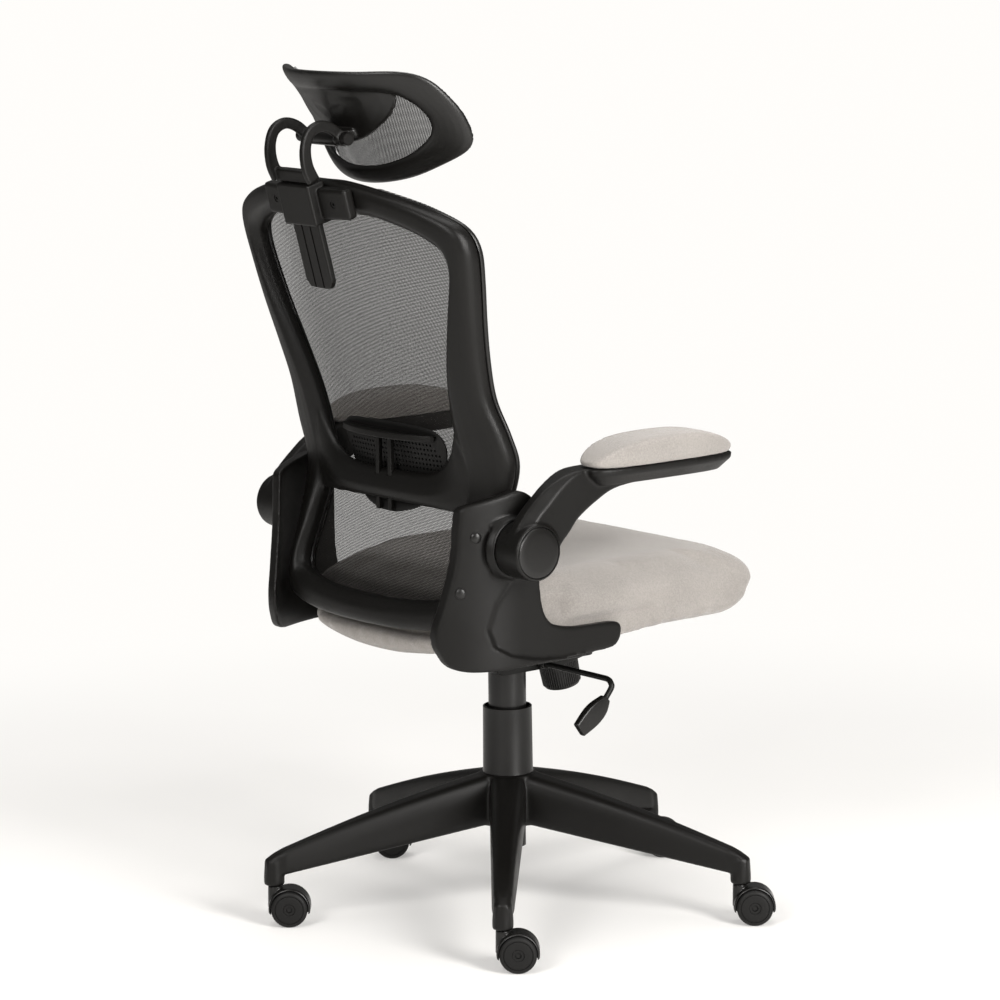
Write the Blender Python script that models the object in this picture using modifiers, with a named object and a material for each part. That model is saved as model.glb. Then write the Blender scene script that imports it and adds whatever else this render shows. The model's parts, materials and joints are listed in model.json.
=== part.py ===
"""Mesh-back task chair on a five-arm caster base. Metres, +Z up; the sitter faces -Y, -X at their right."""

import math

import bmesh
import bpy
from mathutils import Matrix, Vector

# ---------------------------------------------------------------- driving dimensions
GAP = 0.0004                # kept between two pieces that touch
COLUMN_X, COLUMN_Y = -0.0114, 0.0044    # the gas column, from the middle of the whole chair

BASE_RADIUS = 0.335         # column axis to caster stem
BASE_ARMS = 5
BASE_TURN = 67.3            # direction of the first arm, degrees from +X
ARM_ROOT_TOP = 0.191        # height of an arm's top where it leaves the hub
ARM_ROOT_BOTTOM = 0.120
ARM_TIP_TOP = 0.101
ARM_CROWN = 0.005           # an arm bows up by this much halfway
ARM_ROOT_WIDTH = 0.050
ARM_TIP_WIDTH = 0.029
HUB_RADIUS = 0.039
HUB_BOTTOM = 0.118

WHEEL_DIAMETER = 0.050
WHEEL_WIDTH = 0.0165
WHEEL_SPACING = 0.0105      # gap between the two wheels of a caster, which holds the web
CASTER_TRAIL = 0.0197       # stem axis to wheel axle
CASTER_TURN = 230.8         # direction of every trail, degrees from +X
HOOD_GAP = 0.0014           # wheel to the inside of the hood
HOOD_WALL = 0.0022
AXLE_RADIUS = 0.0040
STEM_RADIUS = 0.0055
STEM_LENGTH = 0.036
SOCKET_BOTTOM = WHEEL_DIAMETER + 0.0066     # underside of an arm's tip, just over the hood
RUNNING_FIT = 0.0003        # radial clearance of everything that turns or slides

TUBE_RADIUS = 0.0240        # outer tube of the gas lift
TUBE_WALL = 0.0020
TUBE_TOP = 0.276
TUBE_TAIL = 0.032           # the tube reaches this far below the hub
LIFT_TRAVEL = 0.090
LIFT_RADIUS = 0.0140        # sliding cylinder of the gas lift
LIFT_WALL = 0.0020
ROD_RADIUS = 0.0050
SHROUD_WALL = 0.0016
SHROUD_TOP = 0.285
HOUSING_BOTTOM = 0.340      # underside of the tilt mechanism

TILT_Y = -0.070             # tilt axle, ahead of the column
TILT_Z = 0.372
TILT_RANGE = 12.0
AXLE_TILT_RADIUS = 0.0050
HOUSING_WIDTH = 0.104
PLATE_BOTTOM = 0.3945       # steel plate under the seat
PLATE_THICKNESS = 0.0040
KNOB_RADIUS = 0.0275
KNOB_HEIGHT = 0.045
KNOB_Y = -0.0895
KNOB_LEAN = 13.4            # the tension bolt leans forward, degrees
LEVER_RADIUS = 0.0040
LEVER_Y = -0.018
LEVER_Z = 0.3490
LEVER_REACH = 0.206         # column axis to the lever's bend

PAN_THICKNESS = 0.0113
SEAT_THICKNESS = 0.092
SEAT_HALF_WIDTH = 0.236
SEAT_FRONT = 0.292          # column axis to the front of the cushion
SEAT_REAR = 0.245
SEAT_SKIRT = 0.0070          # the cushion hangs this far down round the pan

BRACKET_FACE = 0.2345       # half the distance over the outer faces of the side brackets
BRACKET_THICKNESS = 0.0180
BRACKET_BEND_Y = 0.160      # behind this line a bracket curls inward round the back frame
BRACKET_BEND = 3.9
FLANGE_INNER = 0.140
PIVOT_Y = 0.178             # arm pivot
PIVOT_Z = 0.558
PIVOT_RADIUS = 0.0375
BOSS_LENGTH = 0.0055
ARM_WIDTH = 0.0455
CAP_THICKNESS = 0.0030
PAD_LENGTH = 0.250
PAD_WIDTH = 0.072
PAD_HEIGHT = 0.042
PAD_Y = -0.031              # middle of the pad
PAD_X = 0.2795
PAD_BOTTOM = 0.6590

BACK_TOP = 1.035
BACK_BOTTOM = 0.436
BACK_CURVE = 0.7            # how fast the back wraps round the sitter
# rear profile of the back at its middle: (height, distance behind the column)
BACK_LINE = [(0.400, 0.253), (0.490, 0.246), (0.560, 0.222), (0.630, 0.203), (0.700, 0.217), (0.800, 0.248),
             (0.860, 0.266), (0.950, 0.289), (1.060, 0.320), (1.200, 0.360)]
FRAME_CROWN = 0.0135        # the frame bulges this far behind the profile
FRAME_FRONT = 0.0140        # and reaches this far ahead of it
RIM_DEPTH = 0.0070
MESH_GAP = 0.0016
MESH_THICKNESS = 0.0016
CROSSBAR_TOP = 0.640
CROSSBAR_BOTTOM = 0.598
CROSSBAR_FRONT = 0.0040

LUMBAR_TRAVEL = 0.015       # each way
LUMBAR_HALF_WIDTH = 0.108
LUMBAR_DEPTH = 0.0120       # rear face of the lumbar pad, ahead of the back's profile
LUMBAR_PAD_THICKNESS = 0.0040
LEDGE_Z = 0.690
LEDGE_HALF_WIDTH = 0.098
LEDGE_DEPTH = 0.025
POST_X = 0.0130
POST_SIZE = 0.0070
POST_Y = 0.2072

BLOCK_Y = 0.3255            # middle of the headrest block
BLOCK_Z = 1.008
BLOCK_LEAN = 15.0
BLOCK_HALF_WIDTH = 0.034
BLOCK_HEIGHT = 0.056
BLOCK_FRONT = 0.0052
BLOCK_REAR = 0.0230
EAR_X = 0.0600
EAR_LENGTH = 0.054
EAR_YAW = 4.8
BLADE_HALF_WIDTH = 0.0280
BLADE_THICKNESS = 0.0085
BLADE_LENGTH = 0.090        # below the block
YOKE_X = 0.0385
YOKE_WIDTH = 0.013
YOKE_THICKNESS = 0.0080
SHAFT_Y = 0.2985            # headrest pivot
SHAFT_Z = 1.0885
SHAFT_RADIUS = 0.0055
HEAD_HALF_WIDTH = 0.160
HEAD_TOP = 1.177
HEAD_BOTTOM = 1.024
HEAD_Y = 0.275              # rear face of the headrest level with its pivot
HEAD_SLOPE = 0.633
HEAD_CURVE = 3.7
HEAD_DEPTH = 0.012

STEPS = 28                  # sides of a turned piece

# ---------------------------------------------------------------- scene, collections, materials
for old in list(bpy.data.objects):
    bpy.data.objects.remove(old, do_unlink=True)


def new_collection(name):
    made = bpy.data.collections.new(name)
    bpy.context.scene.collection.children.link(made)
    return made


PARTS = new_collection("mesh_task_chair")
CUTTERS = new_collection("cutters")


def material(name, colour, roughness, metallic=0.0):
    made = bpy.data.materials.new(name)
    made.use_nodes = True
    shader = made.node_tree.nodes["Principled BSDF"]
    shader.inputs["Base Color"].default_value = (*colour, 1.0)
    shader.inputs["Roughness"].default_value = roughness
    shader.inputs["Metallic"].default_value = metallic
    made.diffuse_color = (*colour, 1.0)
    return made


BLACK_NYLON = material("black_nylon", (0.016, 0.015, 0.014), 0.55)
SATIN_BLACK = material("satin_black", (0.012, 0.012, 0.012), 0.40)
BLACK_STEEL = material("black_steel", (0.020, 0.020, 0.020), 0.35, 0.8)
BRIGHT_STEEL = material("bright_steel", (0.55, 0.55, 0.56), 0.25, 1.0)
GREY_FABRIC = material("grey_fabric", (0.47, 0.43, 0.40), 0.9)
BLACK_MESH = material("black_mesh", (0.020, 0.019, 0.018), 0.8)
WHITE_ACETAL = material("white_acetal", (0.75, 0.74, 0.70), 0.5)


# ---------------------------------------------------------------- helpers: placing
def empty(name, location, parent=None, rotation=(0.0, 0.0, 0.0)):
    """An empty at a point of its parent's space."""
    made = bpy.data.objects.new(name, None)
    made.empty_display_size = 0.03
    PARTS.objects.link(made)
    made.location = location
    made.rotation_euler = rotation
    made.parent = parent
    return made


ROOT = empty("chair", (COLUMN_X, COLUMN_Y, 0.0))


def pivot(name, location):
    """An empty on a joint's axis, given in the chair's space."""
    return empty(name, location, ROOT)


def add(name, mesh, look, parent=ROOT, local=False, smooth=35.0):
    """A part whose mesh is in the chair's space, or in its parent's own space when local."""
    made = bpy.data.objects.new(name, mesh)
    PARTS.objects.link(made)
    made.parent = parent
    if not local and parent is not ROOT:
        made.location = -parent.location
    mesh.materials.append(look)
    if smooth:
        mesh.shade_smooth()
        mesh.set_sharp_from_angle(angle=math.radians(smooth))
    return made


def helper(name, mesh, like):
    """A cutter or an addition, placed as the part it works on."""
    made = bpy.data.objects.new(name, mesh)
    CUTTERS.objects.link(made)
    made.parent = like.parent
    made.location = like.location
    made.rotation_euler = like.rotation_euler
    made.hide_render = True
    made.display_type = "WIRE"
    return made


def boolean(part, mesh, operation):
    tool = helper(f"{part.name}_{operation.lower()}_{len(part.modifiers)}", mesh, part)
    step = part.modifiers.new(operation.title(), "BOOLEAN")
    step.operation = operation
    step.solver = "EXACT"
    step.object = tool
    return part


def cut(part, *meshes):
    for mesh in meshes:
        boolean(part, mesh, "DIFFERENCE")


def join(part, *meshes):
    for mesh in meshes:
        boolean(part, mesh, "UNION")


# ---------------------------------------------------------------- helpers: shapes
def finished(shape, name):
    bmesh.ops.recalc_face_normals(shape, faces=shape.faces)
    mesh = bpy.data.meshes.new(name)
    shape.to_mesh(mesh)
    shape.free()
    return mesh


def box(low, high, bevel=0.0, turn=None):
    """A box between two corners, with its edges rounded by one chamfer, then turned by a matrix."""
    shape = bmesh.new()
    bmesh.ops.create_cube(shape, size=1.0)
    size = Vector(high) - Vector(low)
    middle = (Vector(high) + Vector(low)) / 2
    bmesh.ops.scale(shape, vec=size, verts=shape.verts)
    if bevel:
        bmesh.ops.bevel(shape, geom=shape.edges[:], offset=bevel, segments=1, affect="EDGES")
    bmesh.ops.translate(shape, vec=middle, verts=shape.verts)
    if turn is not None:
        bmesh.ops.transform(shape, matrix=turn, verts=shape.verts)
    return finished(shape, "box")


AXES = {"X": Matrix.Rotation(math.pi / 2, 4, "Y"), "Y": Matrix.Rotation(-math.pi / 2, 4, "X"), "Z": Matrix()}


def cylinder(centre, radius, length, axis="Z", top_radius=None, steps=STEPS, chamfer=0.0):
    """A cylinder or cone centred on a point. top_radius is the radius at the axis's positive end."""
    shape = bmesh.new()
    bmesh.ops.create_cone(
        shape, cap_ends=True, segments=steps, radius1=radius, depth=length,
        radius2=radius if top_radius is None else top_radius,
    )
    if chamfer:
        ends = [edge for edge in shape.edges if abs(edge.verts[0].co.z - edge.verts[1].co.z) < 1e-6]
        bmesh.ops.bevel(shape, geom=ends, offset=chamfer, segments=1, affect="EDGES")
    bmesh.ops.transform(shape, matrix=Matrix.Translation(centre) @ AXES[axis], verts=shape.verts)
    return finished(shape, "cylinder")


def turned(name, profile, look, parent=ROOT, origin=(0.0, 0.0, 0.0), axis="Z", steps=STEPS, local=False):
    """A turned part: (radius, height) points down the outer side, closed back up the axis or the bore."""
    mesh = bpy.data.meshes.new(name)
    closed = profile[0][0] > 0.0
    count = len(profile)
    edges = [(i, (i + 1) % count) for i in range(count if closed else count - 1)]
    mesh.from_pydata([(radius, 0.0, height) for radius, height in profile], edges, [])
    part = add(name, mesh, look, parent, local=True, smooth=0)
    offset = Vector(origin) if local or parent is ROOT else Vector(origin) - parent.location
    part.location = offset
    if axis != "Z":
        part.rotation_euler = AXES[axis].to_euler()
    spin = part.modifiers.new("Screw", "SCREW")
    spin.steps = spin.render_steps = steps
    spin.use_merge_vertices = True
    spin.merge_threshold = 0.00001
    spin.use_smooth_shade = False
    return part


def tube(name, points, radius, look, parent=ROOT, resolution=2):
    """A bent rod through points in the chair's space."""
    curve = bpy.data.curves.new(name, "CURVE")
    curve.dimensions = "3D"
    curve.bevel_depth = radius
    curve.bevel_resolution = resolution
    curve.use_fill_caps = True
    line = curve.splines.new("POLY")
    line.points.add(len(points) - 1)
    for knot, point in zip(line.points, points):
        knot.co = (*point, 1.0)
    made = bpy.data.objects.new(name, curve)
    PARTS.objects.link(made)
    made.parent = parent
    if parent is not ROOT:
        made.location = -parent.location
    curve.materials.append(look)
    return made


def prism(outline, low, high, axis="X"):
    """An outline in the plane across the axis, extruded between two places along it."""
    shape = bmesh.new()
    order = {"X": lambda a, b, c: (c, a, b), "Y": lambda a, b, c: (a, c, b), "Z": lambda a, b,
             c: (a, b, c)}[axis]
    face = shape.faces.new([shape.verts.new(order(a, b, low)) for a, b in outline])
    pushed = bmesh.ops.extrude_face_region(shape, geom=[face])
    moved = [item for item in pushed["geom"] if isinstance(item, bmesh.types.BMVert)]
    bmesh.ops.translate(shape, vec=Vector(order(0.0, 0.0, high - low)), verts=moved)
    return finished(shape, "prism")


def warp(mesh, move, planes=(), normal=(0.0, 1.0, 0.0)):
    """Cuts a mesh at planes across one direction, so that it can bend, then moves every point."""
    shape = bmesh.new()
    shape.from_mesh(mesh)
    direction = Vector(normal)
    for place in planes:
        everything = shape.verts[:] + shape.edges[:] + shape.faces[:]
        bmesh.ops.bisect_plane(shape, geom=everything, plane_co=direction * place, plane_no=direction)
    for vertex in shape.verts:
        vertex.co = move(vertex.co)
    bmesh.ops.triangulate(shape, faces=shape.faces[:])
    made = finished(shape, mesh.name)
    return made


def spline(points, spans=6, closed=False):
    """A smooth line through 2D points (Catmull-Rom)."""
    count = len(points)
    made = []
    for i in range(count if closed else count - 1):
        if closed:
            a, b, c, d = (Vector(points[(i + k) % count]) for k in (-1, 0, 1, 2))
        else:
            a, b, c, d = (Vector(points[min(max(i + k, 0), count - 1)]) for k in (-1, 0, 1, 2))
        for step in range(spans):
            t = step / spans
            made.append(
                0.5 * (2 * b + (c - a) * t + (2 * a - 5 * b + 4 * c - d) * t**2
                       + (3 * b - a - 3 * c + d) * t**3)
            )
    if not closed:
        made.append(Vector(points[-1]))
    return made


def loop(half, count):
    """A closed symmetric outline from its +X half, top (or front) to bottom, in evenly spaced stations."""
    whole = list(half) + [(-x, z) for x, z in reversed(half[1:-1])]
    line = spline(whole, 8, closed=True)
    line.append(line[0])
    lengths = [0.0]
    for before, after in zip(line, line[1:]):
        lengths.append(lengths[-1] + (after - before).length)
    made = []
    place = 0
    for i in range(count):
        want = lengths[-1] * i / count
        while lengths[place + 1] < want:
            place += 1
        share = (want - lengths[place]) / (lengths[place + 1] - lengths[place])
        made.append(line[place].lerp(line[place + 1], share))
    return made


def stations(rows, closed_rows=True, close_ends=False, caps=False):
    """Joins rows of points into faces. Each row is a section; rows meet end to end when close_ends."""
    shape = bmesh.new()
    made = [[shape.verts.new(point) for point in row] for row in rows]
    pairs = list(zip(made, made[1:]))
    if close_ends:
        pairs.append((made[-1], made[0]))
    for before, after in pairs:
        count = len(before)
        for i in range(count if closed_rows else count - 1):
            j = (i + 1) % count
            shape.faces.new((before[i], before[j], after[j], after[i]))
    if caps:
        shape.faces.new(made[0])
        shape.faces.new(list(reversed(made[-1])))
    return finished(shape, "loft")


def ring(outer, inner, section, surface):
    """A frame between two outlines; its section is (share from outer to inner, depth behind the surface)."""
    rows = []
    for (xo, zo), (xi, zi) in zip(outer, inner):
        row = []
        for share, depth in section:
            x, z = xo + (xi - xo) * share, zo + (zi - zo) * share
            row.append((x, surface(x, z) + depth, z))
        rows.append(row)
    return stations(rows, close_ends=True)


def capped(rings, first, last):
    """A closed body from rings of points and the points at its two poles."""
    shape = bmesh.new()
    made = [[shape.verts.new(point) for point in row] for row in rings]
    for before, after in zip(made, made[1:]):
        for i in range(len(before)):
            j = (i + 1) % len(before)
            shape.faces.new((before[i], before[j], after[j], after[i]))
    for pole, row in ((first, made[0]), (last, made[-1])):
        tip = shape.verts.new(pole)
        for i in range(len(row)):
            shape.faces.new((tip, row[i], row[(i + 1) % len(row)]))
    return finished(shape, "body")


def sheet(outline, shares, surface, front, back, middle):
    """A thin body that fills an outline in X and Z and follows a surface: depths front and back of it."""
    mx, mz = middle

    def row(share, depth):
        points = [(mx + (x - mx) * share, mz + (z - mz) * share) for x, z in outline]
        return [(x, surface(x, z) + depth, z) for x, z in points]

    rings = [row(share, front) for share in shares] + [row(share, back) for share in reversed(shares)]
    return capped(rings, (mx, surface(mx, mz) + front, mz), (mx, surface(mx, mz) + back, mz))


def pillow(outline, rings, middle):
    """A cushion over an outline in X and Y: rings are (share of the outline, height), bottom to top."""
    mx, my = middle
    rows = [
        [(mx + (x - mx) * share, my + (y - my) * share, height(x, y) if callable(height) else height)
         for x, y in outline]
        for share, height in rings[1:-1]
    ]
    return capped(rows, (mx, my, rings[0][1]), (mx, my, rings[-1][1]))


def beam(path, section, across=(1.0, 0.0, 0.0)):
    """A bar along a path of points: section(i) gives half its width across and half its height at point i."""
    rows = []
    side = Vector(across)
    for i, point in enumerate(path):
        before, after = Vector(path[max(i - 1, 0)]), Vector(path[min(i + 1, len(path) - 1)])
        up = side.cross(after - before).normalized()
        half_width, half_height = section(i)
        chamfer = min(half_width, half_height) * 0.45
        corners = [
            (half_width - chamfer, half_height), (half_width, half_height - chamfer),
            (half_width, chamfer - half_height), (half_width - chamfer, -half_height),
            (chamfer - half_width, -half_height), (-half_width, chamfer - half_height),
            (-half_width, half_height - chamfer), (chamfer - half_width, half_height),
        ]
        rows.append([Vector(point) + side * a + up * b for a, b in corners])
    return stations(rows, caps=True)


def rounded(points, radius, segments=4):
    """An outline with every corner rounded."""
    made = []
    count = len(points)
    for i in range(count):
        before, corner, after = (Vector(points[(i + k) % count]) for k in (-1, 0, 1))
        reach = min(radius, (before - corner).length * 0.45, (after - corner).length * 0.45)
        start = corner + (before - corner).normalized() * reach
        end = corner + (after - corner).normalized() * reach
        for step in range(segments + 1):
            t = step / segments
            made.append(start.lerp(corner, t).lerp(corner.lerp(end, t), t))
    return made


# ---------------------------------------------------------------- base
def build_base():
    hub_height = ARM_ROOT_TOP - HUB_BOTTOM
    middle = (0.0, 0.0, HUB_BOTTOM + hub_height / 2)
    base = add("base_star", cylinder(middle, HUB_RADIUS, hub_height, steps=40, chamfer=0.002), BLACK_NYLON)
    for i in range(BASE_ARMS):
        turn = math.radians(BASE_TURN + 360.0 * i / BASE_ARMS)
        out = Vector((math.cos(turn), math.sin(turn), 0.0))
        side = Vector((-math.sin(turn), math.cos(turn), 0.0))
        # share along the arm, top, bottom, width
        shares = (0.05, 0.28, 0.52, 0.76, 0.93, 1.0, 1.035)
        tip_bottom = ARM_TIP_TOP - 0.032
        path, sizes = [], []
        for share in shares:
            run = max(share - 0.10, 0.0) / 0.90
            # an arm sinks a little toward the axis, inside the hub, so that no two roots share a plane
            top = ARM_ROOT_TOP + (ARM_TIP_TOP - ARM_ROOT_TOP) * run - GAP - 0.02 * max(0.10 - share, 0.0)
            top += ARM_CROWN * math.sin(math.pi * min(run, 1.0))
            bottom = ARM_ROOT_BOTTOM + (tip_bottom - ARM_ROOT_BOTTOM) * run
            width = ARM_ROOT_WIDTH + (ARM_TIP_WIDTH - ARM_ROOT_WIDTH) * min(run, 1.0)
            if share > 1.0:
                top -= 0.007
                width -= 0.008
            path.append(out * (BASE_RADIUS * share) + Vector((0.0, 0.0, (top + bottom) / 2)))
            sizes.append((width / 2, (top - bottom) / 2))
        rows = []
        for point, (half_width, half_height) in zip(path, sizes):
            chamfer = half_width * 0.40
            corners = [
                (half_width - chamfer, half_height), (half_width, half_height - chamfer * 1.3),
                (half_width, -half_height), (-half_width, -half_height),
                (-half_width, half_height - chamfer * 1.3), (chamfer - half_width, half_height),
            ]
            rows.append([point + side * a + Vector((0.0, 0.0, b)) for a, b in corners])
        join(base, stations(rows, caps=True))
        tip = out * BASE_RADIUS
        boss_top = ARM_TIP_TOP - 0.006
        boss_height = boss_top - SOCKET_BOTTOM
        boss_middle = tip + Vector((0.0, 0.0, SOCKET_BOTTOM + boss_height / 2))
        join(base, cylinder(boss_middle, ARM_TIP_WIDTH / 2 - 0.0003, boss_height, steps=16, chamfer=0.001))
        hole_top = SOCKET_BOTTOM + STEM_LENGTH + 0.001
        hole_height = hole_top - SOCKET_BOTTOM + 0.01
        hole_middle = tip + Vector((0.0, 0.0, hole_top - hole_height / 2))
        cut(base, cylinder(hole_middle, STEM_RADIUS + RUNNING_FIT, hole_height, steps=12))
    cut(base, cylinder(middle, TUBE_RADIUS + GAP, hub_height + 0.02, steps=STEPS))


def build_casters():
    wheel_radius = WHEEL_DIAMETER / 2
    web = WHEEL_SPACING - 0.002
    hood_inner = wheel_radius + HOOD_GAP
    hood_outer = hood_inner + HOOD_WALL
    half_width = WHEEL_SPACING / 2 + WHEEL_WIDTH
    cover = half_width - 0.004
    neck_top = SOCKET_BOTTOM - 0.0012
    for i in range(BASE_ARMS):
        turn = math.radians(BASE_TURN + 360.0 * i / BASE_ARMS)
        place = (BASE_RADIUS * math.cos(turn), BASE_RADIUS * math.sin(turn), 0.0)
        swivel = empty(f"caster_swivel_{i + 1}", place, ROOT, (0.0, 0.0, math.radians(CASTER_TURN)))
        axle = empty(f"caster_axle_{i + 1}", (CASTER_TRAIL, 0.0, wheel_radius), swivel)
        arc = [(hood_outer * math.cos(math.radians(a)), hood_outer * math.sin(math.radians(a)))
               for a in range(-15, 196, 30)]
        outline = [(CASTER_TRAIL + x, wheel_radius + z) for x, z in arc]
        hood = add(f"caster_hood_{i + 1}", prism(outline, -cover, cover, "Y"), SATIN_BLACK, swivel,
                   local=True)
        neck_height = neck_top - wheel_radius
        join(hood, cylinder((0.0, 0.0, neck_top - neck_height / 2), 0.0095, neck_height, steps=12))
        for low, high in ((-cover - 0.01, -web / 2), (web / 2, cover + 0.01)):
            middle = (CASTER_TRAIL, (low + high) / 2, wheel_radius)
            cut(hood, cylinder(middle, hood_inner, high - low, "Y", steps=20))
        cut(hood, cylinder((CASTER_TRAIL, 0.0, wheel_radius), AXLE_RADIUS + RUNNING_FIT, 0.03, "Y", steps=12))
        stem_low = wheel_radius + hood_inner * 0.87
        cut(hood, cylinder((0.0, 0.0, (stem_low + neck_top) / 2 + 0.005), STEM_RADIUS + GAP,
                           neck_top - stem_low + 0.01, steps=12))
        stem_bottom = stem_low + GAP
        stem_top = SOCKET_BOTTOM + STEM_LENGTH - 0.001
        turned(f"caster_stem_{i + 1}",
               [(0.0, stem_top), (STEM_RADIUS * 0.7, stem_top), (STEM_RADIUS, stem_top - 0.003),
                (STEM_RADIUS, stem_bottom), (0.0, stem_bottom)],
               BRIGHT_STEEL, swivel, steps=12, local=True)
        inner, outer = WHEEL_SPACING / 2, WHEEL_SPACING / 2 + WHEEL_WIDTH
        rim = wheel_radius
        # the left wheel carries the axle, the right wheel is pushed onto it
        left = [(0.0, outer), (rim - 0.006, outer), (rim - 0.004, outer - 0.001), (rim, outer - 0.003),
                (rim, inner + 0.002), (rim - 0.002, inner), (AXLE_RADIUS, inner),
                (AXLE_RADIUS, 0.004 - outer),
                (0.0, 0.004 - outer)]
        turned(f"caster_wheel_left_{i + 1}", left, SATIN_BLACK, axle, axis="Y", steps=20, local=True)
        bore = AXLE_RADIUS + 0.0002
        right = [(rim - 0.002, -inner), (rim, -inner - 0.002), (rim, 0.003 - outer),
                 (rim - 0.004, 0.001 - outer),
                 (rim - 0.006, -outer), (bore, -outer), (bore, -inner)]
        turned(f"caster_wheel_right_{i + 1}", right, SATIN_BLACK, axle, axis="Y", steps=20, local=True)


# ---------------------------------------------------------------- gas column
UPPER_SHROUD_INNER = TUBE_RADIUS + 0.0006
UPPER_SHROUD_OUTER = UPPER_SHROUD_INNER + SHROUD_WALL
LOWER_SHROUD_INNER = UPPER_SHROUD_OUTER + 0.0052
LOWER_SHROUD_OUTER = LOWER_SHROUD_INNER + SHROUD_WALL
TUBE_BOTTOM = HUB_BOTTOM - TUBE_TAIL
CYLINDER_BOTTOM = TUBE_BOTTOM + 0.022
CYLINDER_TOP = HOUSING_BOTTOM + 0.022

SWIVEL = pivot("seat_swivel", (0.0, 0.0, TUBE_BOTTOM))
LIFT = pivot("seat_lift", (0.0, 0.0, HOUSING_BOTTOM))


def build_column():
    bore = TUBE_RADIUS - TUBE_WALL
    turned("column_tube",
           [(TUBE_RADIUS, TUBE_TOP), (TUBE_RADIUS, TUBE_BOTTOM), (0.006, TUBE_BOTTOM),
            (0.006, TUBE_BOTTOM + 0.003),
            (bore, TUBE_BOTTOM + 0.003), (bore, TUBE_TOP)], BLACK_STEEL)
    turned("column_bush",
           [(bore - GAP, TUBE_TOP - 0.0005), (bore - GAP, TUBE_TOP - 0.040),
            (LIFT_RADIUS + RUNNING_FIT, TUBE_TOP - 0.040),
            (LIFT_RADIUS + RUNNING_FIT, TUBE_TOP - 0.0005)], WHITE_ACETAL)
    flare = LOWER_SHROUD_OUTER + 0.0008
    turned("shroud_lower",
           [(LOWER_SHROUD_OUTER, SHROUD_TOP), (flare, ARM_ROOT_TOP + GAP),
            (TUBE_RADIUS + GAP, ARM_ROOT_TOP + GAP),
            (TUBE_RADIUS + GAP, ARM_ROOT_TOP + 0.0025), (LOWER_SHROUD_INNER, ARM_ROOT_TOP + 0.0025),
            (LOWER_SHROUD_INNER, SHROUD_TOP)], SATIN_BLACK, steps=32)
    low = SHROUD_TOP - LIFT_TRAVEL + 0.001
    turned("shroud_upper",
           [(UPPER_SHROUD_OUTER, HOUSING_BOTTOM - GAP), (UPPER_SHROUD_OUTER, low), (UPPER_SHROUD_INNER, low),
            (UPPER_SHROUD_INNER, HOUSING_BOTTOM - 0.003), (LIFT_RADIUS + GAP, HOUSING_BOTTOM - 0.003),
            (LIFT_RADIUS + GAP, HOUSING_BOTTOM - GAP)], SATIN_BLACK, LIFT, steps=32)
    seat = TUBE_BOTTOM + 0.003 + GAP
    turned("thrust_bearing", [(0.0150, seat + 0.004), (0.0150, seat), (0.0068, seat), (0.0068, seat + 0.004)],
           BRIGHT_STEEL, steps=20)
    flange = seat + 0.004 + GAP
    piston = CYLINDER_BOTTOM + LIFT_TRAVEL + 0.012
    head = LIFT_RADIUS - LIFT_WALL - RUNNING_FIT
    turned("piston_rod",
           [(0.0, piston + 0.010), (head, piston + 0.010), (head, piston), (ROD_RADIUS, piston),
            (ROD_RADIUS, flange + 0.003), (0.012, flange + 0.003), (0.012, flange), (ROD_RADIUS, flange),
            (ROD_RADIUS, TUBE_BOTTOM - 0.001), (0.0, TUBE_BOTTOM - 0.001)], BRIGHT_STEEL, SWIVEL, steps=20)
    inner = LIFT_RADIUS - LIFT_WALL
    button = 0.0042
    turned("gas_cylinder",
           [(LIFT_RADIUS - 0.0015, CYLINDER_TOP), (LIFT_RADIUS, HOUSING_BOTTOM - 0.02),
            (LIFT_RADIUS, CYLINDER_BOTTOM),
            (inner, CYLINDER_BOTTOM), (inner, CYLINDER_TOP - 0.012), (button, CYLINDER_TOP - 0.010),
            (button, CYLINDER_TOP)], BLACK_STEEL, LIFT, steps=24)


# ---------------------------------------------------------------- tilt mechanism and lever
TILT = pivot("tilt_axis", (0.0, TILT_Y, TILT_Z))
BUTTON = pivot("release_button_slide", (0.0, 0.0, CYLINDER_TOP))
LEVER_TURN = pivot("lever_axis", (0.0, LEVER_Y, LEVER_Z))
KNOB = empty("tension_axis", (0.0, KNOB_Y, HOUSING_BOTTOM + 0.003), ROOT,
             (math.radians(-KNOB_LEAN), 0.0, 0.0))


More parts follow.
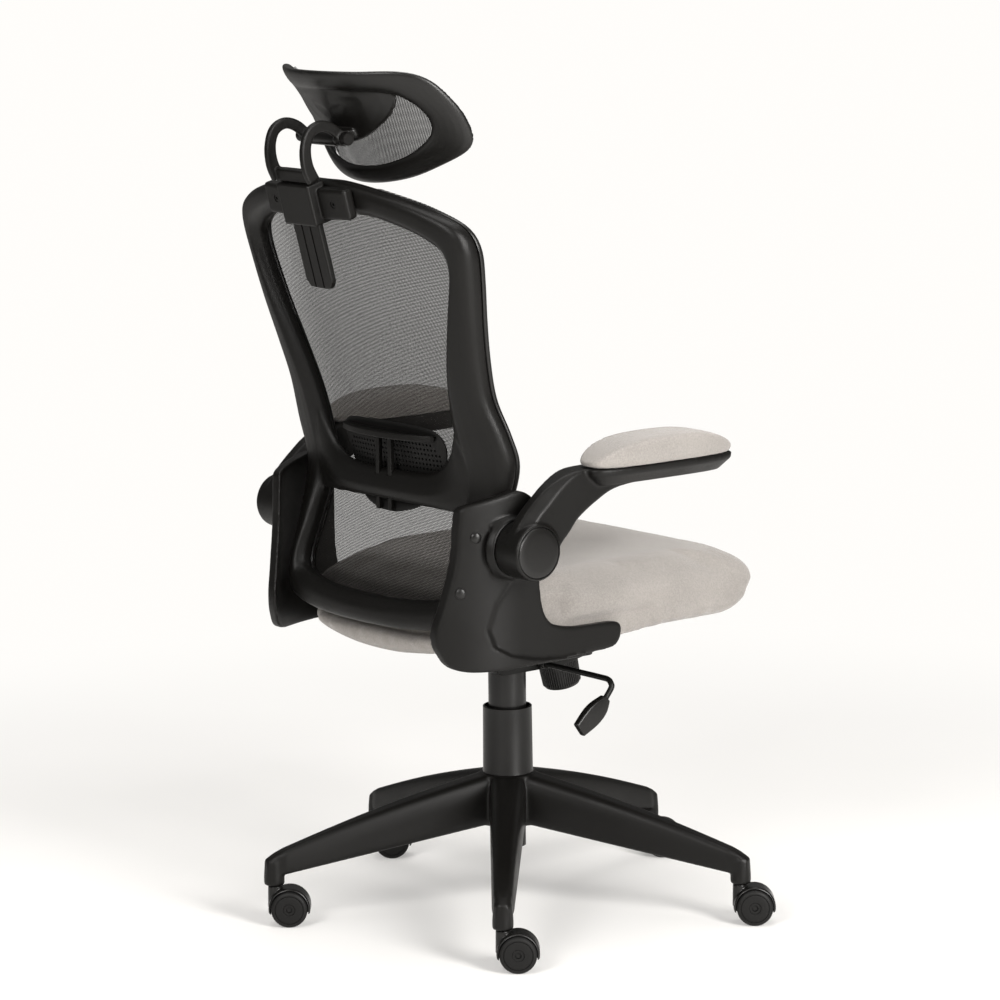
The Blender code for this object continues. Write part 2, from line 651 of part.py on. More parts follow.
def build_mechanism():
    half = HOUSING_WIDTH / 2
    wall = 0.004
    front, rear = -0.132, 0.058
    outline = [(front, HOUSING_BOTTOM + 0.022), (front + 0.008, HOUSING_BOTTOM + 0.0135),
               (TILT_Y + 0.015, HOUSING_BOTTOM), (rear - 0.01, HOUSING_BOTTOM),
               (rear, HOUSING_BOTTOM + 0.006), (rear, HOUSING_BOTTOM + 0.018),
               (-0.03, HOUSING_BOTTOM + 0.034),
               (TILT_Y + 0.016, TILT_Z + 0.012), (TILT_Y - 0.016, TILT_Z + 0.012),
               (front, HOUSING_BOTTOM + 0.034)]
    housing = add("mechanism_housing", prism(outline, -half, half), BLACK_STEEL, LIFT)
    step = TILT_Y + 0.018
    cut(housing, box((wall - half, step, HOUSING_BOTTOM + wall), (half - wall, rear - wall, TILT_Z + 0.03)))
    cut(housing, box((wall - half, front + wall, HOUSING_BOTTOM + 0.019),
                     (half - wall, step + 0.001, TILT_Z + 0.03)))
    cut(housing, cylinder((0.0, 0.0, HOUSING_BOTTOM), LIFT_RADIUS + GAP, 0.04, steps=24))
    cut(housing, cylinder((0.0, TILT_Y, TILT_Z), AXLE_TILT_RADIUS + RUNNING_FIT, HOUSING_WIDTH + 0.02, "X",
                          steps=20))
    collar = 0.0070
    cut(housing, cylinder((-half, LEVER_Y, LEVER_Z), collar + RUNNING_FIT, 0.03, "X", steps=20))
    lean = Matrix.Rotation(math.radians(-KNOB_LEAN), 4, "X")
    bolt = Matrix.Translation(KNOB.location) @ lean
    shape = cylinder((0.0, 0.0, 0.0), 0.0048 + RUNNING_FIT, 0.05, steps=16)
    shape.transform(bolt)
    cut(housing, shape)

    reach = half + 0.0045
    turned("tilt_axle", [(0.0, reach), (AXLE_TILT_RADIUS, reach), (AXLE_TILT_RADIUS, -reach), (0.0, -reach)],
           BRIGHT_STEEL, LIFT, (0.0, TILT_Y, TILT_Z), axis="X", steps=20)

    # the seat plate hangs on the axle by two ears outside the housing
    top = PLATE_BOTTOM + PLATE_THICKNESS
    plate = add("seat_plate", prism(rounded([(-0.110, -0.125), (0.110, -0.125), (0.110, 0.130),
                                             (-0.110, 0.130)], 0.03),
                                    PLATE_BOTTOM, top, "Z"), BLACK_STEEL, TILT)
    for sign in (-1, 1):
        low, high = sorted((sign * (half + 0.0008), sign * (half + 0.0038)))
        ear = rounded([(TILT_Y - 0.013, TILT_Z - 0.012), (TILT_Y + 0.013, TILT_Z - 0.012),
                       (TILT_Y + 0.030, PLATE_BOTTOM + 0.001), (TILT_Y - 0.030, PLATE_BOTTOM + 0.001)], 0.006)
        join(plate, prism(ear, low, high))
    cut(plate, cylinder((0.0, TILT_Y, TILT_Z), AXLE_TILT_RADIUS + RUNNING_FIT, HOUSING_WIDTH + 0.04, "X",
                        steps=20))

    # release button of the gas lift and the finger that the lever turns
    turned("release_button", [(0.0, CYLINDER_TOP + 0.005), (0.0036, CYLINDER_TOP + 0.005),
                              (0.0036, CYLINDER_TOP - 0.008),
                              (0.0, CYLINDER_TOP - 0.008)], BRIGHT_STEEL, BUTTON, steps=16)
    sleeve = add("lever_sleeve", cylinder((-half - 0.001, LEVER_Y, LEVER_Z), collar, 0.022, "X", steps=20),
                 BLACK_NYLON,
                 LEVER_TURN)
    cut(sleeve, cylinder((-half, LEVER_Y, LEVER_Z), LEVER_RADIUS + RUNNING_FIT, 0.05, "X", steps=16))

    rod_start = 0.030 - half
    bend = Vector((-LEVER_REACH, LEVER_Y, LEVER_Z - 0.004))
    drop = Vector((0.0, 0.022, -0.026))
    path = [Vector((rod_start, LEVER_Y, LEVER_Z)), Vector((-LEVER_REACH + 0.030, LEVER_Y, LEVER_Z))]
    path += [Vector((-LEVER_REACH + 0.012, LEVER_Y + 0.0005, LEVER_Z - 0.0006)),
             bend + Vector((0.003, 0.003, 0.0)),
             bend + drop * 0.25, bend + drop]
    tube("lever_rod", path, LEVER_RADIUS, BLACK_STEEL, LEVER_TURN)
    start = bend + drop
    end = start + drop.normalized() * 0.044 + Vector((0.0, 0.012, 0.004))
    grip = [start - drop * 0.30, start + (end - start) * 0.12, start + (end - start) * 0.5, end]
    sizes = [(0.0058, 0.0062), (0.0062, 0.0130), (0.0062, 0.0145), (0.0050, 0.0110)]
    paddle = add("lever_paddle", beam(grip, lambda i: sizes[i]), SATIN_BLACK, LEVER_TURN)
    along = drop.to_track_quat("Z", "Y").to_matrix().to_4x4()
    shape = cylinder((0.0, 0.0, 0.0), LEVER_RADIUS + GAP, 0.05, steps=16)
    shape.transform(Matrix.Translation(start + drop.normalized() * (GAP - 0.025)) @ along)
    cut(paddle, shape)

    # tension knob below the front of the housing, with its bolt and spring inside
    bottom = -KNOB_HEIGHT
    wide, narrow = KNOB_RADIUS, KNOB_RADIUS * 0.95
    knob_profile = [(0.0, -0.001), (0.024, -0.001), (wide, -0.004), (narrow, bottom + 0.003),
                    (narrow - 0.003, bottom),
                    (0.0, bottom)]
    knob = turned("tension_knob", knob_profile, SATIN_BLACK, KNOB, steps=32, local=True)
    cut(knob, cylinder((0.0, 0.0, 0.0), 0.0048 + GAP, 0.030, steps=16))
    turned("tension_bolt", [(0.0, 0.024), (0.0048, 0.024), (0.0048, -0.014), (0.0, -0.014)], BRIGHT_STEEL,
           KNOB,
           steps=16, local=True)
    coil = []
    turns, radius = 3, 0.0082
    for i in range(turns * 10 + 1):
        angle = 2 * math.pi * i / 10
        coil.append((radius * math.cos(angle), radius * math.sin(angle), 0.0192 + 0.0034 * i / 10))
    spring = tube("tension_spring", coil, 0.0014, BRIGHT_STEEL, KNOB, resolution=1)
    spring.location = (0.0, 0.0, 0.0)


# ---------------------------------------------------------------- seat
PAN_BOTTOM = PLATE_BOTTOM + PLATE_THICKNESS + GAP
PAN_TOP = PAN_BOTTOM + PAN_THICKNESS
CUSHION_BOTTOM = PAN_TOP + GAP
SEAT_HALF = [
    (0.0, -SEAT_FRONT), (0.11, 0.001 - SEAT_FRONT), (0.185, 0.009 - SEAT_FRONT), (0.222, 0.040 - SEAT_FRONT),
    (SEAT_HALF_WIDTH - 0.001, -0.180), (SEAT_HALF_WIDTH, -0.080), (SEAT_HALF_WIDTH - 0.001, 0.0),
    (SEAT_HALF_WIDTH - 0.004, 0.090), (0.205, 0.150), (0.190, 0.190), (0.150, SEAT_REAR - 0.014),
    (0.08, SEAT_REAR - 0.002), (0.0, SEAT_REAR),
]
FOOT_TOP = 0.4365           # top of the bracket's foot, beside the cushion
FOOT_FRONT = -0.012
# the cushion is drawn in from one of its facets ahead of the bracket's foot, and of its post
FOOT_CLEARANCE = 0.1233 * SEAT_FRONT
POST_CLEARANCE = 0.1678 * SEAT_FRONT
POST_FRONT = 0.129


def cushion_point(x, y, z):
    """A point of the cushion, kept clear of the brackets at its sides and of the back behind it."""
    bracket = BRACKET_FACE - BRACKET_THICKNESS - 0.004
    wide = SEAT_HALF_WIDTH
    if z < FOOT_TOP + 0.010 and y > FOOT_FRONT - FOOT_CLEARANCE:
        wide = bracket
    elif y > POST_FRONT - POST_CLEARANCE:
        wide = bracket - 0.002 - 0.15 * (y - POST_FRONT + POST_CLEARANCE)
    x = math.copysign(min(abs(x), wide), x)
    if z > BACK_BOTTOM - 0.005:
        y = min(y, back_surface(x, z) - FRAME_FRONT - RIM_DEPTH - 0.008)
    return (x, y, z)


def build_seat():
    outline = loop(SEAT_HALF, 40)
    middle = (0.0, -0.015)
    share = 0.80
    add("seat_pan", pillow(outline, [(0.0, PAN_BOTTOM), (share - 0.03, PAN_BOTTOM),
                                     (share, PAN_BOTTOM + 0.002),
                                     (share, PAN_TOP), (0.0, PAN_TOP)], middle), BLACK_NYLON, TILT)

    def skirt(lift):
        """Height of the cushion's lower edge: it hangs over the pan behind, and rises toward the front."""
        def height(x, y):
            return CUSHION_BOTTOM - SEAT_SKIRT + lift + 0.016 * min(max((0.02 - y) / 0.12, 0.0), 1.0)
        return height

    low, high = CUSHION_BOTTOM, CUSHION_BOTTOM + SEAT_THICKNESS
    rings = [(0.0, low), (share + 0.003, low), (share + 0.012, skirt(0.001)), (0.93, skirt(0.0)),
             (0.972, skirt(0.010)),
             (0.995, low + 0.033), (1.0, low + 0.048), (0.985, low + 0.064), (0.94, low + 0.077),
             (0.86, low + 0.0865),
             (0.70, high), (0.35, high - 0.004), (0.0, high - 0.006)]
    mesh = pillow(outline, rings, middle)
    mesh = warp(mesh, lambda p: Vector(cushion_point(*p)))
    add("seat_cushion", mesh, GREY_FABRIC, TILT)


# ---------------------------------------------------------------- side brackets and arms
def bracket_inset(y):
    """How far a bracket's plate curls inward at a place along Y."""
    return BRACKET_BEND * max(y - BRACKET_BEND_Y, 0.0) ** 2


def build_brackets():
    outline = [(0.129, 0.560), (0.130, 0.600), (0.145, 0.622), (0.166, 0.632), (0.190, 0.628), (0.239, 0.615),
               (0.245, 0.600), (0.250, 0.540), (0.262, 0.483), (0.270, 0.450), (0.265, 0.420),
               (0.240, 0.3965),
               (0.150, 0.3965), (0.050, 0.399), (0.005, 0.401), (FOOT_FRONT + 0.004, 0.409),
               (FOOT_FRONT, 0.420),
               (FOOT_FRONT + 0.006, 0.4345), (0.040, FOOT_TOP), (0.070, 0.438), (0.100, 0.444),
               (0.115, 0.453),
               (0.125, 0.474), (0.129, 0.510)]
    for side, sign in (("right", -1), ("left", 1)):
        outer, inner = BRACKET_FACE, BRACKET_FACE - BRACKET_THICKNESS
        plate = prism(outline, sign * inner, sign * outer)
        bends = [0.165 + 0.012 * i for i in range(8)]
        plate = warp(plate, lambda p, s=sign: Vector((p.x - s * bracket_inset(p.y), p.y, p.z)), bends)
        bracket = add(f"side_bracket_{side}", plate, BLACK_NYLON, TILT)
        # flange under the seat pan, and the boss that the arm turns on
        low, high = sorted((sign * FLANGE_INNER, sign * (inner + 0.003)))
        join(bracket, box((low, 0.030, 0.3925), (high, 0.150, PLATE_BOTTOM + PLATE_THICKNESS)))
        boss = BRACKET_FACE + BOSS_LENGTH
        half = BOSS_LENGTH / 2 + 0.003
        lead = cylinder((sign * (boss - half), PIVOT_Y, PIVOT_Z),
                        PIVOT_RADIUS + (0.006 if sign > 0 else 0.002), half * 2, "X",
                        top_radius=PIVOT_RADIUS + (0.002 if sign > 0 else 0.006), steps=36)
        join(bracket, lead)
        cut(bracket, cylinder((sign * boss, PIVOT_Y, PIVOT_Z), 0.0060 + RUNNING_FIT, 0.10, "X", steps=20))


ARM_PIVOTS = {
    sign: pivot(f"arm_pivot_{side}", (sign * (BRACKET_FACE + BOSS_LENGTH), PIVOT_Y, PIVOT_Z))
    for side, sign in (("right", -1), ("left", 1))
}


def build_arms():
    hub_inner = BRACKET_FACE + BOSS_LENGTH + 0.0008
    hub_outer = hub_inner + ARM_WIDTH
    upper = [(0.2120, 0.5740), (0.1920, 0.6030), (0.1700, 0.6240), (0.1450, 0.6420), (0.1120, 0.6585)]
    lower = [(-0.1300, 0.6335), (-0.0140, 0.6325), (0.0390, 0.6275), (0.0720, 0.6140), (0.1030, 0.5950),
             (0.1180, 0.5790), (0.1410, 0.5520)]
    tail = PAD_BOTTOM - GAP
    outline = spline(upper, 3) + [Vector((PAD_Y + PAD_LENGTH / 2 - 0.004, tail))]
    outline += [Vector((PAD_Y - PAD_LENGTH / 2 + 0.006, tail)),
                Vector((PAD_Y - PAD_LENGTH / 2 + 0.004, tail - 0.014))]
    outline += spline(lower, 3) + [Vector((PIVOT_Y, PIVOT_Z - 0.012))]
    for side, sign in (("right", -1), ("left", 1)):
        turn = ARM_PIVOTS[sign]
        low, high = sorted((sign * (hub_inner + 0.003), sign * (hub_outer - 0.003)))
        arm = add(f"arm_{side}", prism(outline, low, high), BLACK_NYLON, turn)
        hub = cylinder((sign * (hub_inner + ARM_WIDTH / 2), PIVOT_Y, PIVOT_Z), PIVOT_RADIUS, ARM_WIDTH, "X",
                       steps=36,
                       chamfer=0.0012)
        join(arm, hub)
        # carrier plate under the pad
        plate = []
        for i in range(24):
            angle = 2 * math.pi * i / 24
            cx, cy = math.cos(angle), math.sin(angle)
            power = 0.62
            plate.append((sign * PAD_X + (PAD_WIDTH / 2 - 0.002) * math.copysign(abs(cx) ** power, cx),
                          PAD_Y + (PAD_LENGTH / 2 - 0.002) * math.copysign(abs(cy) ** power, cy)))
        join(arm, prism(plate, tail - 0.010, tail, "Z"))
        cut(arm, cylinder((sign * hub_inner, PIVOT_Y, PIVOT_Z), 0.0060 + RUNNING_FIT, 0.12, "X", steps=20))
        pocket = PIVOT_RADIUS - 0.0035
        pocket_low = hub_outer - CAP_THICKNESS - 0.004
        cut(arm, cylinder((sign * (pocket_low + 0.01), PIVOT_Y, PIVOT_Z), pocket, 0.02, "X", steps=36))
        flat = 0.0020
        cap = [(0.0, sign * (hub_outer + flat)), (pocket - 0.004, sign * (hub_outer + flat)),
               (pocket - 0.0006, sign * (hub_outer + 0.0003)),
               (pocket - 0.0006, sign * (hub_outer - CAP_THICKNESS)),
               (0.0, sign * (hub_outer - CAP_THICKNESS))]
        turned(f"pivot_cap_{side}", cap if sign > 0 else cap[::-1], SATIN_BLACK, turn,
               (0.0, PIVOT_Y, PIVOT_Z), axis="X",
               steps=36)
        # the pivot bolt stays in the bracket; the arm turns on it
        head_low, head_high = pocket_low + GAP, pocket_low + 0.0030
        tail_end = BRACKET_FACE - BRACKET_THICKNESS - 0.003
        bolt = [(0.0, sign * head_high), (0.0115, sign * head_high), (0.0115, sign * head_low),
                (0.0060, sign * head_low), (0.0060, sign * tail_end), (0.0, sign * tail_end)]
        turned(f"pivot_bolt_{side}", bolt if sign > 0 else bolt[::-1], BRIGHT_STEEL, TILT,
               (0.0, PIVOT_Y, PIVOT_Z),
               axis="X", steps=20)
        pad_outline = []
        for i in range(28):
            angle = 2 * math.pi * i / 28
            cx, cy = math.cos(angle), math.sin(angle)
            power = 0.62
            pad_outline.append((sign * PAD_X + PAD_WIDTH / 2 * math.copysign(abs(cx) ** power, cx),
                                PAD_Y + PAD_LENGTH / 2 * math.copysign(abs(cy) ** power, cy)))

        def crown(share):
            """Height of the pad's top at a share of its outline: full in the middle, low at both ends."""
            def height(x, y):
                end = abs(y - PAD_Y) / (PAD_LENGTH / 2) * share
                return PAD_BOTTOM + PAD_HEIGHT * (1.0 - 0.72 * end**3.2) * (1.0 - 0.10 * share**2)
            return height

        rings = [(0.0, PAD_BOTTOM), (0.94, PAD_BOTTOM), (1.0, PAD_BOTTOM + 0.006), (0.99, crown(0.985)),
                 (0.90, crown(0.90)), (0.72, crown(0.72)), (0.40, crown(0.40)),
                 (0.0, PAD_BOTTOM + PAD_HEIGHT)]
        add(f"arm_pad_{side}", pillow(pad_outline, rings, (sign * PAD_X, PAD_Y)), GREY_FABRIC, turn)


# ---------------------------------------------------------------- back
def back_surface(x, z):
    """The back's profile, interpolated smoothly through its points and wrapped round the sitter."""
    i = max(k for k in range(len(BACK_LINE) - 1) if BACK_LINE[k][0] <= z or k == 0)
    (z0, y0), (z1, y1) = BACK_LINE[i], BACK_LINE[i + 1]

    def slope(k):
        low, high = BACK_LINE[max(k - 1, 0)], BACK_LINE[min(k + 1, len(BACK_LINE) - 1)]
        return (high[1] - low[1]) / (high[0] - low[0])

    t = (z - z0) / (z1 - z0)
    run = z1 - z0
    y = (y0 * (2 * t**3 - 3 * t**2 + 1) + run * slope(i) * (t**3 - 2 * t**2 + t)
         + y1 * (3 * t**2 - 2 * t**3) + run * slope(i + 1) * (t**3 - t**2))
    return y - BACK_CURVE * x * x


RAIL_REACH = BRACKET_FACE - BRACKET_THICKNESS   # the rails stand between the side brackets
FRAME_OUTER = [
    (0.0, BACK_TOP), (0.055, BACK_TOP - 0.002), (0.15, BACK_TOP - 0.020), (0.200, BACK_TOP - 0.036),
    (0.230, BACK_TOP - 0.053), (0.241, 0.955), (0.236, 0.910), (0.227, 0.860), (0.216, 0.800), (0.211, 0.750),
    (0.2195, 0.705), (0.2230, 0.668), (RAIL_REACH - 0.006, 0.622), (RAIL_REACH - 0.0165, 0.575),
    (RAIL_REACH - 0.0245, 0.520), (RAIL_REACH - 0.0315, 0.470),
    (0.165, BACK_BOTTOM + 0.011), (0.10, BACK_BOTTOM + 0.002), (0.0, BACK_BOTTOM),
]
FRAME_INNER = [
    (0.0, 0.993), (0.088, 0.990), (0.148, 0.976), (0.184, 0.960), (0.201, 0.9435), (0.203, 0.915),
    (0.185, 0.860),
    (0.162, 0.795), (0.150, 0.750), (0.1435, 0.700), (0.148, 0.650), (0.155, 0.600), (0.160, 0.550),
    (0.163, 0.500),
    (0.148, 0.484), (0.08, 0.476), (0.0, 0.474),
]
FRAME_STATIONS = 56
CROSSBAR_REACH = 0.168


def crossbar_edges(x):
    """Lower and upper edge of the crossbar, which widens upward where it meets the side rails."""
    flare = min(0.034 * (abs(x) / 0.13) ** 6, 0.075)
    return CROSSBAR_BOTTOM - 0.004 * (x / 0.15) ** 2, CROSSBAR_TOP + flare


def build_back():
    outer, inner = loop(FRAME_OUTER, FRAME_STATIONS), loop(FRAME_INNER, FRAME_STATIONS)
    front = -FRAME_FRONT
    section = [(0.06, front), (0.0, 0.004 + front), (0.0, 0.002), (0.10, 0.010), (0.30, FRAME_CROWN),
               (0.70, FRAME_CROWN), (1.0, 0.0), (1.0, 0.002 + front), (0.95, front)]
    frame = add("back_frame", ring(outer, inner, section, back_surface), BLACK_NYLON, TILT, smooth=40.0)

    rows = []
    columns = 18
    for i in range(columns + 1):
        x = CROSSBAR_REACH * (2 * i / columns - 1)
        low, high = crossbar_edges(x)
        inside = 1.0 - min(max((abs(x) - 0.120) / 0.03, 0.0), 1.0)
        ahead = -CROSSBAR_FRONT * inside + (0.003 + front) * (1.0 - inside)
        row = []
        for share, depth in ((0.05, ahead), (0.0, ahead + 0.002), (0.0, 0.002), (0.36, FRAME_CROWN - 0.001),
                             (0.62, FRAME_CROWN - 0.002), (1.0, 0.001), (1.0, ahead + 0.002), (0.95, ahead)):
            z = low + (high - low) * share
            row.append((x, back_surface(x, z) + depth, z))
        rows.append(row)
    join(frame, stations(rows, caps=True))
    half = POST_SIZE / 2 + RUNNING_FIT * 2
    for sign in (-1, 1):
        cut(frame, box((sign * POST_X - half, POST_Y - half, CROSSBAR_BOTTOM - 0.03),
                       (sign * POST_X + half, POST_Y + half, CROSSBAR_TOP + 0.03)))

    seat, face = front - GAP * 2, front - GAP * 2 - RIM_DEPTH
    rim_section = [(0.08, seat), (0.03, seat - 0.002), (0.03, face + 0.002), (0.08, face), (0.84, face),
                   (0.88, face + 0.002), (0.88, seat - 0.002), (0.84, seat)]
    add("mesh_rim", ring(outer, inner, rim_section, back_surface), SATIN_BLACK, TILT, smooth=40.0)

    # the mesh is a thin sheet, built in level strips from the bottom edge to the top edge
    edge = spline(FRAME_OUTER, 8)
    rear = face - MESH_GAP
    count, across = 26, 6
    low, high = BACK_BOTTOM + 0.010, BACK_TOP - 0.008
    rows = []
    for i in range(count + 1):
        z = low + (high - low) * i / count
        width = 0.0
        for before, after in zip(edge, edge[1:]):
            if min(before.y, after.y) <= z <= max(before.y, after.y) and before.y != after.y:
                width = max(width, before.x + (after.x - before.x) * (z - before.y) / (after.y - before.y))
        width -= 0.006
        line = [width * (2 * k / across - 1) for k in range(across + 1)]
        rows.append([(x, back_surface(x, z) + rear - MESH_THICKNESS, z) for x in line]
                    + [(x, back_surface(x, z) + rear, z) for x in reversed(line)])
    add("back_mesh", stations(rows, caps=True), BLACK_MESH, TILT, smooth=60.0)


# ---------------------------------------------------------------- lumbar support
LUMBAR = pivot("lumbar_slide", (0.0, POST_Y, LEDGE_Z))


def build_lumbar():
    half = [(0.0, 0.703), (0.05, 0.7025), (0.092, 0.698), (LUMBAR_HALF_WIDTH, 0.681),
            (LUMBAR_HALF_WIDTH - 0.005, 0.652),
            (0.090, 0.622), (0.064, 0.596), (0.030, 0.584), (0.0, 0.581)]
    rear = -LUMBAR_DEPTH
    pad = sheet(loop(half, 30), (0.34, 0.68, 1.0), back_surface, rear - LUMBAR_PAD_THICKNESS, rear,
                (0.0, 0.645))
    add("lumbar_pad", pad, SATIN_BLACK, LUMBAR, smooth=50.0)
    # ledge: a crescent shelf behind the pad, with the two posts that slide in the crossbar
    columns = 14
    rows = []
    for i in range(columns + 1):
        x = LEDGE_HALF_WIDTH * (2 * i / columns - 1)
        front = back_surface(x, LEDGE_Z) + rear + GAP * 3
        back = front + 0.004 + (LEDGE_DEPTH - 0.004) * (1.0 - (x / LEDGE_HALF_WIDTH) ** 2) ** 0.6
        rows.append([(x, front, LEDGE_Z - 0.004), (x, front, LEDGE_Z + 0.002), (x, back, LEDGE_Z + 0.003),
                     (x, back, LEDGE_Z - 0.006)])
    slider = add("lumbar_slider", stations(rows, caps=True), BLACK_NYLON, LUMBAR)
    half_post = POST_SIZE / 2
    for sign in (-1, 1):
        join(slider, box((sign * POST_X - half_post, POST_Y - half_post, CROSSBAR_BOTTOM - LUMBAR_TRAVEL),
                         (sign * POST_X + half_post, POST_Y + half_post, LEDGE_Z - 0.001)))


# ---------------------------------------------------------------- headrest
LEAN = math.radians(-BLOCK_LEAN)
BLOCK = empty("headrest_mount", (0.0, BLOCK_Y, BLOCK_Z), ROOT, (LEAN, 0.0, 0.0))
HEAD = pivot("headrest_tilt", (0.0, SHAFT_Y, SHAFT_Z))


def in_block(point):
    """A point of the chair's space, in the leaning space of the headrest block."""
    turn = Matrix.Rotation(LEAN, 4, "X")
    return turn.inverted() @ (Vector(point) - Vector((0.0, BLOCK_Y, BLOCK_Z)))


def head_surface(x, z):
    """Rear face of the headrest: leaning back, and wrapped round the head."""
    return HEAD_Y + HEAD_SLOPE * (z - SHAFT_Z) - HEAD_CURVE * x * x


def build_headrest():
    half_height = BLOCK_HEIGHT / 2
    slot_y = 0.0065
    block = add("headrest_block",
                box((-BLOCK_HALF_WIDTH, -BLOCK_FRONT, -half_height),
                    (BLOCK_HALF_WIDTH, BLOCK_REAR, half_height),
                    bevel=0.002), BLACK_NYLON, BLOCK, local=True)
    for sign in (-1, 1):
        yaw = Matrix.Translation((sign * EAR_X, 0.0, 0.0)) @ Matrix.Rotation(math.radians(-sign * EAR_YAW),
                                                                             4, "Z")
        ear = box((-EAR_LENGTH / 2, -0.0080, -0.022), (EAR_LENGTH / 2, 0.0085, 0.020), bevel=0.003, turn=yaw)
        join(block, ear)
        hole = cylinder((0.0, 0.0, 0.0), 0.0048, 0.06, "Y", steps=16)
        hole.transform(yaw)
        cut(block, hole)
    slot = BLADE_HALF_WIDTH + RUNNING_FIT
    cut(block, box((-slot, slot_y - RUNNING_FIT, -0.05),
                   (slot, slot_y + BLADE_THICKNESS + RUNNING_FIT, 0.05)))

    # stem: ribbed blade, foot and the two hooked arms of the yoke
    foot_top = 0.046
    low = -half_height - BLADE_LENGTH
    corner = 0.010
    blade = [(-BLADE_HALF_WIDTH, foot_top), (BLADE_HALF_WIDTH, foot_top), (BLADE_HALF_WIDTH, low + corner),
             (BLADE_HALF_WIDTH - corner * 0.7, low), (corner * 0.7 - BLADE_HALF_WIDTH, low),
             (-BLADE_HALF_WIDTH, low + corner)]
    stem = add("headrest_stem", prism(blade, slot_y, slot_y + BLADE_THICKNESS, "Y"), BLACK_NYLON, BLOCK,
               local=True)
    foot_low = half_height + 0.0008
    foot_half = YOKE_X + YOKE_THICKNESS / 2 - 0.003
    join(stem, box((-foot_half, slot_y - 0.001, foot_low), (foot_half, slot_y + 0.0115, foot_top),
                   bevel=0.002))
    route = [(0.3470, 1.036), (0.3565, 1.055), (0.3590, 1.078), (0.3520, 1.098), (0.3350, 1.1065),
             (0.3160, 1.1020),
             (SHAFT_Y, SHAFT_Z)]
    for sign in (-1, 1):
        path = [in_block((sign * YOKE_X, y, z)) for y, z in spline(route, 2)]
        half = [YOKE_WIDTH / 2 * (1.25 if i < 3 else 1.0) for i in range(len(path))]
        join(stem, beam(path, lambda i, h=half: (YOKE_THICKNESS / 2, h[i])))
        join(stem, cylinder(in_block((sign * YOKE_X, SHAFT_Y, SHAFT_Z)), 0.0105, YOKE_THICKNESS + 0.001, "X",
                            steps=20))
    cut(stem, cylinder(in_block((0.0, SHAFT_Y, SHAFT_Z)), SHAFT_RADIUS + RUNNING_FIT, 0.12, "X", steps=20))
    for x in (-0.009, 0.009):
        cut(stem, box((x - 0.0014, slot_y + BLADE_THICKNESS - 0.0014, low - 0.01),
                      (x + 0.0014, slot_y + BLADE_THICKNESS + 0.01, -half_height - 0.001)))

    end = 0.0535
    knob = 0.0088
    hub_edge = YOKE_X + YOKE_THICKNESS / 2 + 0.0012
    turned("headrest_shaft",
           [(0.0, end), (knob - 0.001, end), (knob, end - 0.001), (knob, hub_edge), (SHAFT_RADIUS, hub_edge),
            (SHAFT_RADIUS, -hub_edge), (knob, -hub_edge), (knob, 0.001 - end), (knob - 0.001, -end),
            (0.0, -end)],
           BLACK_NYLON, HEAD, (0.0, SHAFT_Y, SHAFT_Z), axis="X", steps=20)

    outer_half = [(0.0, HEAD_TOP), (0.070, HEAD_TOP), (0.122, HEAD_TOP + 0.0005), (0.145, HEAD_TOP - 0.010),
                  (0.156, HEAD_TOP - 0.035), (HEAD_HALF_WIDTH, HEAD_TOP - 0.062), (0.157, 1.088),
                  (0.145, 1.070),
                  (0.118, 1.053), (0.080, 1.036), (0.040, HEAD_BOTTOM + 0.003), (0.0, HEAD_BOTTOM)]
    inner_half = [(0.0, 1.152), (0.060, 1.151), (0.098, 1.149), (0.117, 1.138), (0.127, 1.117),
                  (0.123, 1.097),
                  (0.106, 1.079), (0.078, 1.062), (0.040, 1.051), (0.0, 1.048)]
    outer, inner = loop(outer_half, 40), loop(inner_half, 40)
    front = -HEAD_DEPTH
    section = [(0.10, front), (0.0, 0.003 + front), (0.0, -0.005), (0.10, -0.001), (0.40, 0.001), (0.78, 0.0),
               (1.0, -0.005), (1.0, front)]
    head = add("headrest_frame", ring(outer, inner, section, head_surface), BLACK_NYLON, HEAD, smooth=45.0)
    web_half = [(0.0, 1.158), (0.060, 1.158), (0.100, 1.155), (0.102, 1.138), (0.084, 1.116), (0.058, 1.098),
                (0.030, 1.085), (0.0, 1.080)]
    web = sheet(loop(web_half, 24), (0.5, 1.0), head_surface, front + 0.0006, front + 0.0066, (0.0, 1.122))
    join(head, web)
    # hub on the shaft, on a short arm out of the web
    hub_half = YOKE_X - YOKE_THICKNESS / 2 - 0.0016
    join(head, cylinder((0.0, SHAFT_Y, SHAFT_Z), 0.0110, hub_half * 2, "X", steps=20))
    join(head, box((0.002 - hub_half, HEAD_Y - 0.008, SHAFT_Z),
                   (hub_half - 0.002, SHAFT_Y, SHAFT_Z + 0.0100)))
    cut(head, cylinder((0.0, SHAFT_Y, SHAFT_Z), SHAFT_RADIUS + RUNNING_FIT, 0.10, "X", steps=20))
    # mesh in front of the frame, in level strips
    rear = front - MESH_GAP - GAP * 3
    edge = spline(outer_half, 8)
    count, across = 7, 12
    low, high = HEAD_BOTTOM + 0.006, HEAD_TOP - 0.005
    rows = []
    for i in range(count + 1):
        z = low + (high - low) * i / count
        width = 0.0
        for before, after in zip(edge, edge[1:]):
            if min(before.y, after.y) <= z <= max(before.y, after.y) and before.y != after.y:
                width = max(width, before.x + (after.x - before.x) * (z - before.y) / (after.y - before.y))
        width -= 0.005
        line = [width * (2 * k / across - 1) for k in range(across + 1)]
        rows.append([(x, head_surface(x, z) + rear - MESH_THICKNESS, z) for x in line]
                    + [(x, head_surface(x, z) + rear, z) for x in reversed(line)])
    add("headrest_mesh", stations(rows, caps=True), BLACK_MESH, HEAD, smooth=60.0)


